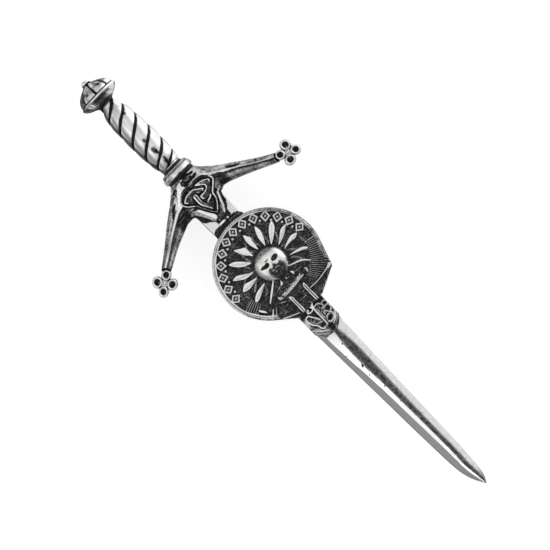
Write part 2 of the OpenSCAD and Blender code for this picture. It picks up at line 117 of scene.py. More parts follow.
def curve(points, steps=6):
    """A smooth curve through the points, as a list of closer ones."""
    p = np.array(points, float)
    if len(p) < 3:
        return p
    ext = np.vstack([2 * p[0] - p[1], p, 2 * p[-1] - p[-2]])
    out = []
    for k in range(1, len(ext) - 2):
        a, b, c, d = ext[k - 1:k + 3]
        for t in np.arange(steps) / steps:
            out.append(0.5 * (2 * b + (c - a) * t + (2 * a - 5 * b + 4 * c - d) * t ** 2
                              + (3 * b - a - 3 * c + d) * t ** 3))
    return np.array(out + [p[-1]])


def around(points, steps=5):
    """A smooth closed curve through the points."""
    p = np.array(points, float)
    before, after, beyond = np.roll(p, 1, 0), np.roll(p, -1, 0), np.roll(p, -2, 0)
    t = np.arange(steps)[:, None, None] / steps
    loop = 0.5 * (2 * p + (after - before) * t + (2 * before - 5 * p + 4 * after - beyond) * t ** 2
                  + (3 * p - before - 3 * after + beyond) * t ** 3)
    return loop.transpose(1, 0, 2).reshape(-1, 2)


def to_path(x, y, path):
    """Distance to a path of straight lines, and the share of its length at the nearest point."""
    path = np.asarray(path, float)
    lengths = np.hypot(*np.diff(path, axis=0).T)
    starts = np.concatenate([[0], np.cumsum(lengths)])
    best = np.full(x.shape, 1e9)
    share = np.zeros(x.shape)
    for p, q, start, length in zip(path[:-1], path[1:], starts, lengths):
        run = q - p
        t = np.clip(((x - p[0]) * run[0] + (y - p[1]) * run[1]) / max(length ** 2, 1e-9), 0, 1)
        d = np.hypot(x - p[0] - t * run[0], y - p[1] - t * run[1])
        closer = d < best
        best[closer] = d[closer]
        share[closer] = ((start + t * length) / starts[-1])[closer]
    return best, share


def inside(x, y, outline):
    """Which points lie inside an outline."""
    odd = np.zeros(x.shape, bool)
    outline = np.asarray(outline, float)
    for (ax, ay), (bx, by) in zip(outline, np.roll(outline, -1, 0)):
        if ay != by:
            odd ^= ((ay > y) != (by > y)) & (x < (bx - ax) * (y - ay) / (by - ay) + ax)
    return odd


def each(mark, rows):
    """Makes one mark for each row of its arguments."""
    for row in rows:
        mark(*row)


class Relief:
    """Heights and polish over points x, y. Strokes are raised on its ground or cut into it, in turn."""

    def __init__(self, x, y, height, polish_and_shade):
        self.x, self.y = x, y
        self.z = np.zeros(x.shape) + height
        self.ground = self.z.copy()
        self.polish_and_shade = np.zeros(x.shape) + polish_and_shade

    def near(self, path, reach):
        low, high = path.min(0) - reach, path.max(0) + reach
        return (self.x > low[0]) & (self.x < high[0]) & (self.y > low[1]) & (self.y < high[1])

    def lift(self, where, fill, height, polish_and_shade):
        """Raises the points to height above the ground where fill is 1."""
        fill = fill[where] if fill.shape == where.shape else fill
        self.z[where] = np.maximum(self.z[where], self.ground[where] + height * fill)
        self.polish_and_shade[where] = np.maximum(self.polish_and_shade[where], polish_and_shade * ramp(0.25, 0.75, fill))

    def sink(self, where, fill, depth, polish_and_shade):
        """Lowers the points by depth where fill is 1."""
        self.z[where] -= depth * fill
        self.polish_and_shade[where] += (polish_and_shade - self.polish_and_shade[where]) * ramp(0.1, 0.7, fill)

    def along(self, points, width, tips):
        """The points near a smooth curve, how far each is from it, and half the width there."""
        path = curve(points)
        where = self.near(path, width)
        d, t = to_path(self.x[where], self.y[where], path)
        return where, d, width / 2 * np.interp(t, [0, 0.35, 0.65, 1], [tips[0], 1, 1, tips[1]])

    def stroke(self, points, width, height, polish_and_shade=1.0, tips=(1.0, 1.0)):
        """A raised rib along a smooth curve, with its width at each end as a share."""
        where, d, half = self.along(points, width, tips)
        slope = np.minimum(0.12, 0.24 * half)
        self.lift(where, 1 - ramp(-slope, slope + 0.01, d - half), height, polish_and_shade)

    def cut(self, points, width, depth, polish_and_shade=0.0, tips=(1.0, 1.0), ragged=0.0):
        """A groove along a smooth curve, with ragged sides if that is given."""
        where, d, half = self.along(points, width, tips)
        d = d + ragged * grit(self.x[where], self.y[where], 301)
        self.sink(where, 1 - ramp(half * 0.35, half * 1.1, d), depth, polish_and_shade)

    def within(self, outline, reach):
        """Points near a smooth closed outline, and how deep each lies inside it."""
        loop = around(outline)
        where = self.near(loop, reach)
        x, y = self.x[where], self.y[where]
        d, _ = to_path(x, y, np.vstack([loop, loop[:1]]))
        return where, np.where(inside(x, y, loop), d, -d)

    def plateau(self, outline, height, polish_and_shade=1.0, bevel=0.12):
        """A raised shape with a flat top."""
        where, deep = self.within(outline, 0.1)
        self.lift(where, ramp(-0.6 * bevel, 0.6 * bevel, deep), height, polish_and_shade)

    def hollow(self, outline, depth, polish_and_shade=0.0, wall=0.12, ragged=0.0):
        """A sunk shape with a flat floor, or only a duller one where the depth is 0."""
        where, deep = self.within(outline, 0.1 + ragged)
        deep = deep + ragged * grit(self.x[where], self.y[where], 303)
        self.sink(where, ramp(-0.05, wall, deep), depth, polish_and_shade)

    def oval(self, centre, rx, ry, turn=0.0):
        """Distance from a centre as a share of an oval's radius, and the points near it."""
        where = self.near(np.array([centre, centre], float), 1.5 * max(rx, ry))
        dx, dy = self.x[where] - centre[0], self.y[where] - centre[1]
        a = dx * cos(turn) + dy * sin(turn)
        b = dy * cos(turn) - dx * sin(turn)
        return where, np.hypot(a / rx, b / ry)

    def mound(self, centre, rx, ry, height, polish_and_shade=1.0, turn=0.0):
        where, d = self.oval(centre, rx, ry, turn)
        self.lift(where, np.sqrt(np.clip(1 - d ** 2, 0, 1)), height, polish_and_shade)

    def pit(self, centre, rx, ry, depth, polish_and_shade=0.0, turn=0.0):
        where, d = self.oval(centre, rx, ry, turn)
        self.sink(where, 1 - ramp(0.55, 1.1, d), depth, polish_and_shade)

    def ring(self, centre, radius, width, height, polish_and_shade=1.0):
        where, d = self.oval(centre, radius + width, radius + width)
        off = np.abs(d * (radius + width) - radius)
        self.lift(where, 1 - ramp(width / 2 - 0.08, width / 2 + 0.02, off), height, polish_and_shade)

    def roughen(self, amount, seed):
        """Gives the dull parts the skin of a sand casting, and the polished parts a trace of it."""
        rough = grit(self.x, self.y, seed)
        self.z += amount * rough * (1.05 - self.polish_and_shade)
        self.polish_and_shade = np.clip(self.polish_and_shade + 0.16 * rough * (1 - np.abs(2 * self.polish_and_shade - 1)), 0, 1)


# Meshes

def closed_quads(rows, columns):
    """Faces of a skin through rows of closed rings."""
    index = np.arange(rows * columns).reshape(rows, columns)
    a, b = index[:-1], index[1:]
    return np.stack([a, np.roll(a, -1, 1), np.roll(b, -1, 1), b], -1).reshape(-1, 4)


def signed_volume(points, faces):
    total = 0.0
    for face in faces:
        face = np.atleast_2d(face)
        for k in range(1, face.shape[1] - 1):
            a, b, c = points[face[:, 0]], points[face[:, k]], points[face[:, k + 1]]
            total += np.einsum("ij,ij->i", a, np.cross(b, c)).sum()
    return total


def make_piece(name, points, quads, caps, polish_and_shade, finish, node=None, sharp=50):
    """A mesh object of points in millimetres. It rides on the part's only body."""
    material, slot = finish
    faces = [quads] + [np.array([cap]) for cap in caps]
    turned = signed_volume(points, faces) < 0
    lists = [list(f) for block in faces for f in (block[:, ::-1] if turned else block).tolist()]
    mesh = bpy.data.meshes.new(name)
    mesh.from_pydata((points * MM).tolist(), [], lists)
    mesh.validate()
    layer = mesh.attributes.new("polish_and_shade", "FLOAT", "POINT")
    layer.data.foreach_set("value", np.clip(polish_and_shade, 0, 1).astype(np.float32))
    mesh.polygons.foreach_set("use_smooth", np.ones(len(mesh.polygons), bool))
    mesh.set_sharp_from_angle(angle=radians(sharp))
    mesh.materials.append(material)
    piece = bpy.data.objects.new(name, mesh)
    bpy.context.scene.collection.objects.link(piece)
    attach(piece, "root")
    if node:
        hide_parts(node)


class Solids:
    """Closed solids through rings of points, with a face over each end, that make one piece."""

    def __init__(self):
        self.points, self.polish_and_shade, self.quads, self.caps, self.count = [], [], [], [], 0

    def add(self, rings, polish_and_shade):
        rows, columns = rings.shape[:2]
        index = np.arange(rows * columns).reshape(rows, columns) + self.count
        self.points.append(rings.reshape(-1, 3))
        self.polish_and_shade.append(polish_and_shade.ravel())
        self.quads.append(closed_quads(rows, columns) + self.count)
        self.caps += [index[0, ::-1].tolist(), index[-1].tolist()]
        self.count += index.size

    def make(self, name, finish, node=None, sharp=50):
        make_piece(name, np.concatenate(self.points), np.concatenate(self.quads), self.caps,
                   np.concatenate(self.polish_and_shade), finish, node, sharp)


def ring_piece(name, rings, polish_and_shade, finish, node=None, sharp=50):
    solids = Solids()
    solids.add(rings, polish_and_shade)
    solids.make(name, finish, node, sharp)


def on_hilt(points):
    """Points drawn upright from the foot of the crossguard, leaning in their place."""
    x, y, z = np.moveaxis(points, -1, 0)
    return np.stack([x * cos(HILT_LEAN) - y * sin(HILT_LEAN),
                     x * sin(HILT_LEAN) + y * cos(HILT_LEAN) + GUARD_Y, z + BACK_Z], -1)


def on_badge(points):
    return points + np.array([BADGE_X, BADGE_Y, BADGE_Z])


def spaced(count):
    """Shares from 0 to 1 that lie closer together at both ends."""
    t = np.linspace(0, 1, count)
    return 0.75 * t + 0.25 * (1 - np.cos(pi * t)) / 2


def walls(edge, base, steps):
    """Points down a side from the edge of a face to its foot, without either of them."""
    t = (np.arange(steps) + 1) / (steps + 1)
    return edge[:, None, :] * (1 - t[None, :, None]) + base[:, None, :] * t[None, :, None]


def relief_piece(name, x, y, face, feet, steps, side, place, finish, node=None, sharp=50):
    """A relief on straight walls. Its feet are the points under it, from the right edge to the left. The
    walls take the polish side, which darkens the outline as old finish and as painted shade.
    """
    top = np.stack([x, y, face.z], -1)
    rings = np.concatenate([top, walls(top[:, -1], feet[0], steps), *(foot[:, None] for foot in feet),
                            walls(top[:, 0], feet[-1], steps)[:, ::-1]], 1)
    polish_and_shade = np.concatenate([face.polish_and_shade, np.full((len(x), rings.shape[1] - x.shape[1]), side)], 1)
    ring_piece(name, place(rings), polish_and_shade, finish, node, sharp)


def strip_piece(name, y, left, right, columns, height, place, seed, rough):
    """A flat-backed relief between a left and a right edge at each station."""
    v = spaced(columns)
    x = left[:, None] * (1 - v) + right[:, None] * v
    yy = np.broadcast_to(y[:, None], x.shape).copy()
    face = height(x, yy)
    face.roughen(rough, seed)
    feet = [np.stack([edge, y, np.zeros(len(y))], -1) for edge in (right, left)]
    relief_piece(name, x, yy, face, feet, 3, 0.5, place, ANTIQUE)


# Materials

def node_of(tree, kind, **inputs):
    node = tree.nodes.new(kind)
    for key, value in inputs.items():
        node.inputs[key.replace("_", " ")].default_value = value
    return node


def colour_ramp(tree, fac, stops):
    """A ramp of colours, or of greys where a stop is one number."""
    node = tree.nodes.new("ShaderNodeValToRGB")
    elements = node.color_ramp.elements
    while len(elements) < len(stops):
        elements.new(0.5)
    for element, (place, colour) in zip(elements, stops):
        element.position = place
        element.color = (*(colour if isinstance(colour, tuple) else (colour,) * 3), 1)
    tree.links.new(fac, node.inputs["Fac"])
    return node.outputs["Color"]


def math_node(tree, operation, *values, clamp=False):
    node = tree.nodes.new("ShaderNodeMath")
    node.operation = operation
    node.use_clamp = clamp
    for socket, value in zip(node.inputs, values):
        if isinstance(value, (int, float)):
            socket.default_value = value
        else:
            tree.links.new(value, socket)
    return node.outputs["Value"]


def noise(tree, cell, detail, place):
    """Noise from 0 to 1 whose blotches are about one cell, in millimetres."""
    node = node_of(tree, "ShaderNodeTexNoise", Scale=1 / (cell * MM), Detail=detail, Roughness=0.6)
    tree.links.new(place, node.inputs["Vector"])
    return node.outputs["Fac"]


def aged_metal(name, colours, metals, roughness, gloss, wear, bump):
    """A finish, which is a material and its name. It goes from the black oxide of the
    recesses, where the polish is 0, to the rubbed metal of the raised parts, and so also shows the painted
    shade and painted highlights that the polish carries in places."""
    material = bpy.data.materials.new(name)
    material.use_nodes = True
    tree = material.node_tree
    shader = tree.nodes["Principled BSDF"]
    place = tree.nodes.new("ShaderNodeTexCoord").outputs["Object"]
    polish_and_shade = tree.nodes.new("ShaderNodeAttribute")
    polish_and_shade.attribute_name = "polish_and_shade"
    blotches = noise(tree, 1.1, 3, place)
    specks = noise(tree, 0.3, 4, place)
    uneven = math_node(tree, "MULTIPLY_ADD", specks, wear, -wear / 2)
    drift = math_node(tree, "MULTIPLY_ADD", blotches, wear * 0.4, -wear * 0.2)
    # The brightest parts are worn evenly
    calm = math_node(tree, "SUBTRACT", 1.25, polish_and_shade.outputs["Fac"])
    patchy = math_node(tree, "MULTIPLY", math_node(tree, "ADD", uneven, drift), calm)
    level = math_node(tree, "ADD", polish_and_shade.outputs["Fac"], patchy, clamp=True)
    for stops, socket in ((colours, "Base Color"), (metals, "Metallic"), (roughness, "Roughness"),
                          (gloss, "Specular IOR Level")):
        tree.links.new(colour_ramp(tree, level, stops), shader.inputs[socket])
    skin = noise(tree, 0.2, 3, place)
    swell = noise(tree, 0.7, 2, place)
    height = math_node(tree, "ADD",
                       math_node(tree, "MULTIPLY", skin, math_node(tree, "SUBTRACT", 1.08, level)),
                       math_node(tree, "MULTIPLY", swell, 0.5))
    relief = node_of(tree, "ShaderNodeBump", Strength=bump, Distance=0.05 * MM)
    tree.links.new(height, relief.inputs["Height"])
    tree.links.new(relief.outputs["Normal"], shader.inputs["Normal"])
    return material, name


ANTIQUE = aged_metal(
    "antique_pewter",
    [(0.0, (0.012, 0.012, 0.0125)), (0.25, (0.05, 0.05, 0.051)), (0.5, (0.2, 0.199, 0.196)),
     (0.84, (0.76, 0.756, 0.746)), (1.0, (0.95, 0.945, 0.932))],
    [(0.0, 0.1), (0.5, 0.9), (0.8, 1.0)],
    [(0.0, 0.7), (0.45, 0.45), (0.9, 0.24)],
    [(0.0, 0.12), (0.5, 0.5)], 1.2, 0.6)
POLISHED = aged_metal(
    "polished_pewter",
    [(0.0, (0.012, 0.012, 0.0125)), (0.3, (0.06, 0.06, 0.061)), (0.55, (0.3, 0.299, 0.294)),
     (0.9, (0.85, 0.846, 0.836))],
    [(0.0, 0.15), (0.5, 0.95), (0.8, 1.0)],
    [(0.0, 0.65), (0.45, 0.38), (0.9, 0.2)],
    [(0.0, 0.15), (0.5, 0.5)], 0.45, 0.3)
PLATED = aged_metal(
    "plated_wire",
    [(0.0, (0.1, 0.095, 0.085)), (0.4, (0.35, 0.34, 0.315)), (0.9, (0.72, 0.7, 0.66))],
    [(0.0, 0.8), (0.5, 1.0), (0.8, 1.0)],
    [(0.0, 0.5), (0.5, 0.3), (0.9, 0.16)],
    [(0.0, 0.4), (0.5, 0.5)], 0.4, 0.15)


# Blade: distances from the point, with the half width, both ridges and the valley there
BLADE_RUN = [0, 0.25, 0.7, 1.4, 2.5, 3.6, 5, 8, 12, 16, 20, 25, 30, 34, 37, 41, 50, 70.6]
BLADE_WIDE = [0.03, 0.17, 0.43, 0.82, 1.2, 1.44, 1.61, 1.82, 1.96, 2.08, 2.17, 2.28, 2.42, 2.54, 2.62, 2.72,
              2.95, 3.25]
RIDGE_RIGHT = [0.01, 0.05, 0.15, 0.28, 0.46, 0.58, 0.68, 0.78, 0.76, 0.8, 0.87, 1.0, 1.14, 1.16, 0.98, 0.3,
               0.3, 0.3]
RIDGE_LEFT = [0.01, 0.05, 0.15, 0.3, 0.42, 0.48, 0.51, 0.5, 0.62, 0.75, 0.87, 0.96, 1.26, 1.58, 1.76, 1.85,
              1.95, 2.0]
VALLEY = [0, 0, -0.01, -0.03, -0.06, -0.08, -0.09, 0.04, 0.06, 0.02, -0.03, -0.12, -0.25, -0.25, -0.02, 0.3,
          0.3, 0.3]
GROOVE_DEPTH = [0, 0.02, 0.08, 0.15, 0.22, 0.26, 0.29, 0.33, 0.38, 0.42, 0.47, 0.56, 0.76, 0.9, 0.94, 0.5,
                0.0, 0.0]
BLADE_THICK = [0.8, 0.9, 1.0, 1.15, 1.3, 1.4, 1.48, 1.58, 1.66, 1.7, 1.74, 1.78, 1.82, 1.86, 1.88, 1.9, 1.9,
               1.9]
TIP_LEAN = 0.42
BLADE_EDGE_POLISH = 0.7
# Between these distances the ridges give way to a flat face
BLADE_FLATTENS = (39, 42)
# Columns of points in each strip of the face, from its left edge, and the casting's small pits
STRIP_COLUMNS = (3, 16, 18, 18, 18, 3)
BLADE_PITS = [((-0.45, 36.0), 0.12), ((-0.62, 30.6), 0.2), ((-0.5, 30.9), 0.12), ((-0.35, 25.3), 0.1),
              ((-0.9, 28.6), 0.1), ((0.6, 38.4), 0.11), ((1.25, 39.2), 0.09), ((1.6, 37.4), 0.08),
              ((-1.5, 33.9), 0.09), ((-1.75, 31.6), 0.1), ((-0.2, 21.4), 0.08), ((1.1, 17.2), 0.06)]


def eased(values, run, y):
    """A table's value at each y, with its corners smoothed."""
    span = 1.0
    shifts = np.linspace(-span, span, 9)
    return np.mean([np.interp(y + s * np.minimum(1, y / 4), run, values) for s in shifts], axis=0)


def blade_polish_and_shade(strip, share, y, flat):
    """Polish at a share of the way across one of the six strips of the blade's face, from the left. The
    left edge is darker than the right one, which is painted shade.
    """
    if strip == 0:
        return 0.5 * (1 - share) + 0.6 * share + 0 * y
    if strip == 1:
        return 1 - 0 * y
    # The groove's black finish thins out over both of its edges. Its right wall is darker than its left one
    # from the finish and from painted shade.
    if strip == 2:
        return 1 - 0.3 * (1 - flat) * ramp(0.72, 1.0, share)
    if strip == 3:
        dark = 0.36 + 0.1 * ramp(0.25, 0.0, share) + 0.16 * ramp(0.6, 1.0, share)
        return dark * (1 - flat) + 0.97 * flat
    if strip == 4:
        shine = 0.85 - 0.32 * (1 - flat) * ramp(0.3, 0.0, share)
    else:
        shine = 0.82 * (1 - share) + BLADE_EDGE_POLISH * share
    return shine - 0.28 * ramp(3.2, 0.6, y)


def blade_columns(y, wide, left, right, valley):
    """Points across the blade, in columns along edge, bevel, ridge, valley, ridge, bevel and edge."""
    depth, thick = (eased(table, BLADE_RUN, y) for table in (GROOVE_DEPTH, BLADE_THICK))
    flat = ramp(*BLADE_FLATTENS, y)
    rim = np.minimum(0.2, wide * 0.12)
    edge_left = thick - (wide - left) * 0.62 * (1 - flat) - 0.1 * flat
    edge_right = thick - (wide - right) * 0.33 * (1 - flat) - 0.1 * flat
    marks_x = [-wide, -wide + rim, -left, valley, right, wide - rim, wide]
    marks_z = [edge_left - 0.12, edge_left, thick, thick - depth, thick, edge_right, edge_right - 0.12]
    columns = []
    for strip, count in enumerate(STRIP_COLUMNS):
        for share in np.arange(count) / count:
            x, z = (marks[strip] * (1 - share) + marks[strip + 1] * share for marks in (marks_x, marks_z))
            columns.append((x, z, blade_polish_and_shade(strip, share, y, flat)))
    columns.append((marks_x[-1], marks_z[-1], BLADE_EDGE_POLISH + 0 * y))
    return np.array(columns).transpose(1, 2, 0)


def build_blade():
    y = np.concatenate([np.linspace(0, 3, 60, endpoint=False),
                        np.linspace(3, blade_high[1] - blade_low[1], 520)])
    wide, left, right, valley = (
        eased(table, BLADE_RUN, y) for table in (BLADE_WIDE, RIDGE_LEFT, RIDGE_RIGHT, VALLEY))
    left = np.minimum(left + 0.03 * grain(y, y * 0, 0.9, 3), wide * 0.86)
    right = np.minimum(right + 0.02 * grain(y, y * 0, 0.7, 5), wide * 0.86)
    x, z, polish_and_shade = blade_columns(y, wide, left, right, valley)
    yy = np.broadcast_to(y[:, None], x.shape)
    face = Relief(x, yy, 0, 1)
    face.z, face.polish_and_shade = z.copy(), polish_and_shade
    for place, size in BLADE_PITS:
        face.pit(place, size * 1.4, size, 0.09, 0.25, 0.4)
    groove = (x > valley[:, None]) & (x < right[:, None])
    near_groove = (x > valley[:, None] - 0.35) & (x < right[:, None] + 0.45)
    face.z += np.where(groove, 0.05, 0.006) * grit(x, yy, 11) * ramp(0.5, 3, yy)
    face.polish_and_shade += np.where(groove, 0.24, np.where(near_groove, 0.12, 0.04)) * grit(x * 1.5, yy * 1.5, 21)

    def place(rings):
        rings[:, :, 0] += (TIP_LEAN * (1 - ramp(0, 6, y)) + 0.05 * ramp(24, 38, y))[:, None]
        return rings + np.array([BLADE_X, blade_low[1], BACK_Z])

    feet = [np.stack([side * wide * 0.97, y, 0 * y], -1) for side in (1, -1)]
    relief_piece("blade_casting", x, yy, face, feet, 4, 0.4, place, POLISHED, "blade", sharp=28)


# Crossguard: distances from its middle, with both edges of each arm, the thickness and the flat share there
ARM_X = [0, 2.03, 2.97, 3.4, 4.2, 5.4, 6.6, 8.1, 9.7, 11.2, 12.9, 14.1, 14.75]
LEFT_UP = [6.66, 6.66, 6.62, 6.15, 5.43, 4.52, 3.69, 2.62, 1.37, 0.22, -1.0, -1.88, -2.3]
LEFT_LOW = [0, 0, 0, -0.05, 0.1, 0.07, -0.38, -0.92, -1.6, -2.33, -3.25, -3.8, -2.6]
RIGHT_UP = [6.66, 6.66, 6.45, 5.74, 4.97, 3.88, 2.97, 1.92, 0.75, -0.31, -1.42, -2.09, -2.45]
RIGHT_LOW = [0, 0, 0, 0.1, 0.28, -0.03, -0.52, -1.17, -1.91, -2.66, -3.5, -4.05, -2.85]
ARM_THICK = [4.35, 4.15, 3.9, 3.75, 3.5, 3.25, 3.0, 2.75, 2.45, 2.15, 1.75, 1.4, 1.2]
ARM_FLAT = [0.74, 0.7, 0.5, 0.34, 0.18, 0.12, 0.1, 0.09, 0.09, 0.1, 0.11, 0.12, 0.12]
# Features are drawn in the sword's own plane, and this is the hilt's middle and lean there
HILT_AT = (0.667, 19.84)
HILT_LEAN = radians(1.572)
LEFT_FLANK = [(-3.45, 19.98), (-3.15, 19.75), (-2.95, 19.4), (-2.85, 18.8), (-2.68, 18.0), (-2.3, 17.5),
              (-1.8, 17.2), (-1.3, 16.9), (-1.0, 16.6), (-0.85, 16.2), (-0.8, 15.45)]
RIGHT_FLANK = [(2.1, 15.45), (2.13, 16.2), (2.2, 16.8), (2.5, 17.15), (2.8, 17.4), (3.0, 17.9),
               (3.25, 18.1), (3.33, 18.6), (3.42, 19.2), (3.65, 19.75), (4.1, 20.15), (4.5, 20.3)]
# Heights of the langets and of the web between them over the blade, and half the middle's width
LANGET_UP = 1.7
WEB_UP = 0.75
HUB_HALF = 4.2
# Outline of the knot's panel, and its border at the left, at the right and at its foot
PANEL = [(-2.95, 22.75), (-2.75, 23.35), (-2.0, 23.95), (-1.0, 24.28), (0.2, 24.3), (1.2, 24.2),
         (2.2, 24.2), (3.0, 23.95), (3.7, 23.4), (3.98, 22.85), (3.75, 22.35), (3.0, 21.55), (2.3, 20.9),
         (2.1, 20.1), (1.85, 19.4), (1.2, 18.45), (0.55, 17.75), (-0.1, 18.4), (-0.8, 19.7), (-1.4, 20.75),
         (-2.2, 21.55), (-2.7, 22.15)]
BORDER_LEFT = [(-2.95, 23.2), (-3.1, 22.65), (-2.78, 22.05), (-2.3, 21.58), (-1.75, 21.18), (-1.3, 20.78)]
BORDER_RIGHT = [(3.95, 23.2), (4.2, 22.65), (4.1, 22.25), (3.6, 21.75), (3.0, 21.2), (2.5, 20.75),
                (2.32, 20.4), (2.28, 20.0), (2.1, 19.4), (1.8, 18.9), (1.35, 18.35), (0.9, 17.85),
                (0.58, 17.62)]
BORDER_FOOT = [(-1.3, 20.78), (-0.95, 20.0), (-0.35, 18.85), (0.1, 18.1), (0.58, 17.62)]


def to_hilt(x, y):
    """Places in the sword's plane as places from the hilt's own middle."""
    dx, dy = x - HILT_AT[0], y - HILT_AT[1]
    c, s = cos(HILT_LEAN), sin(HILT_LEAN)
    return c * dx + s * dy, c * dy - s * dx


def from_hilt(x, y):
    """Places from the hilt's own middle as places in the sword's plane."""
    c, s = cos(HILT_LEAN), sin(HILT_LEAN)
    return HILT_AT[0] + c * x - s * y, HILT_AT[1] + s * x + c * y


def draw_knot(face):
    """The three-cornered knot: dull bands with bright edges, each over one neighbour and under the next."""
    floor = face.z.copy()
    each(face.plateau, [
        ([(1.0, 23.6), (2.2, 23.5), (3.2, 23.1), (3.5, 22.78), (3.2, 22.1), (2.75, 21.45), (2.1, 20.9),
          (1.2, 20.7), (0.45, 20.8), (0.4, 21.5), (1.55, 21.65), (2.1, 21.95), (2.36, 22.4), (2.2, 22.85),
          (1.5, 23.3)], 0.4, 0.3),
        ([(-2.45, 22.7), (-1.6, 23.2), (-0.4, 23.35), (0.8, 22.95), (1.6, 22.35), (1.2, 22.02),
          (0.5, 22.35), (-0.1, 22.68), (-0.7, 22.5), (-0.95, 21.4), (-1.2, 21.05), (-1.9, 21.7)], 0.36,
         0.24),
        ([(0.45, 18.65), (0.95, 19.0), (1.4, 19.6), (1.72, 20.55), (0.85, 20.25), (0.4, 19.7)], 0.32,
         0.26)])
    # Edges of the band from the left corner, then those of the band round the right one
    face.ground = floor
    each(face.stroke, [
        ([(-2.1, 22.32), (-2.45, 22.7), (-2.0, 23.05), (-1.5, 23.3), (-1.0, 23.4), (-0.3, 23.45),
          (0.2, 23.35), (0.6, 23.1), (1.0, 22.8), (1.4, 22.55), (1.65, 22.35), (1.4, 22.18)], 0.27, 0.6,
         1.0),
        ([(-1.5, 23.05), (-1.0, 23.16), (-0.4, 23.2), (0.1, 23.08)], 0.2, 0.46, 0.5, (0.6, 0.6)),
        ([(0.38, 22.62), (0.58, 22.42), (0.8, 22.28)], 0.26, 0.54, 0.8, (0.7, 0.7)),
        ([(0.95, 22.5), (1.2, 22.3)], 0.14, 0.5, 0.6),
        ([(-1.32, 22.2), (-1.2, 22.5), (-1.0, 22.7)], 0.2, 0.5, 0.6),
        ([(1.05, 23.66), (1.5, 23.62), (2.2, 23.5), (2.8, 23.3), (3.2, 23.05), (3.5, 22.83),
          (3.32, 22.42)], 0.27, 0.6, 0.92),
        ([(1.15, 23.55), (1.7, 23.42)], 0.34, 0.6, 0.98, (0.6, 0.8)),
        ([(1.95, 23.3), (2.4, 23.12), (2.75, 22.95)], 0.22, 0.52, 0.66, (0.7, 0.5)),
        ([(1.05, 23.64), (1.5, 23.32), (1.9, 23.05), (2.28, 22.76), (2.4, 22.4), (2.22, 22.02),
          (1.8, 21.75), (1.3, 21.65), (0.85, 21.62), (0.42, 21.62)], 0.27, 0.62, 1.0),
        ([(0.42, 21.62), (0.38, 21.3), (0.5, 20.95)], 0.29, 0.62, 1.0),
        ([(2.85, 22.85), (3.0, 22.6), (2.8, 22.2)], 0.16, 0.5, 0.5),
        ([(1.0, 21.3), (1.6, 21.25), (2.1, 21.4)], 0.14, 0.48, 0.42)])
    # The upright band, and the short edge at the foot
    face.cut([(-0.95, 22.3), (-0.98, 21.3), (-0.9, 20.4), (-0.5, 19.6)], 0.24, 0.2, 0.03)
    face.cut([(0.16, 22.3), (0.14, 21.4), (0.16, 20.7), (0.3, 20.1)], 0.24, 0.2, 0.03)
    each(face.stroke, [
        ([(-0.32, 22.35), (-0.37, 21.6), (-0.35, 20.9), (-0.2, 20.2), (0.1, 19.5), (0.4, 18.75)], 0.74,
         0.56, 0.42, (1.0, 0.4)),
        ([(-0.6, 22.35), (-0.68, 21.5), (-0.65, 20.75), (-0.5, 20.12), (-0.12, 19.52), (0.16, 19.05),
          (0.36, 18.58)], 0.29, 0.7, 1.0, (1.0, 0.8)),
        ([(-0.03, 22.35), (-0.08, 21.8), (-0.15, 21.25), (-0.12, 20.7)], 0.22, 0.68, 0.88, (1.0, 0.5)),
        ([(-0.1, 20.6), (0.1, 19.95), (0.34, 19.3)], 0.16, 0.62, 0.56, (1.0, 0.6)),
        ([(-0.6, 22.38), (-0.03, 22.38)], 0.22, 0.7, 0.85)])
    face.cut([(-0.33, 22.12), (-0.38, 21.5), (-0.36, 20.7)], 0.16, 0.12, 0.06, (1.0, 0.4))
    face.stroke([(0.5, 19.85), (0.76, 20.1), (1.2, 20.24), (1.58, 20.38), (1.86, 20.62)], 0.36, 0.58, 0.95,
                (0.5, 1.0))
    face.stroke([(1.55, 20.05), (1.4, 19.5), (1.0, 19.0), (0.5, 18.68)], 0.16, 0.46, 0.46)
    face.pit((1.15, 19.85), 0.28, 0.2, 0.14, 0.1)


def arm_edges(x):
    """Lower and upper edge of the guard."""
    ax = np.abs(x)
    low = np.where(x < 0, np.interp(ax, ARM_X, LEFT_LOW), np.interp(ax, ARM_X, RIGHT_LOW))
    high = np.where(x < 0, np.interp(ax, ARM_X, LEFT_UP), np.interp(ax, ARM_X, RIGHT_UP))
    return low, high


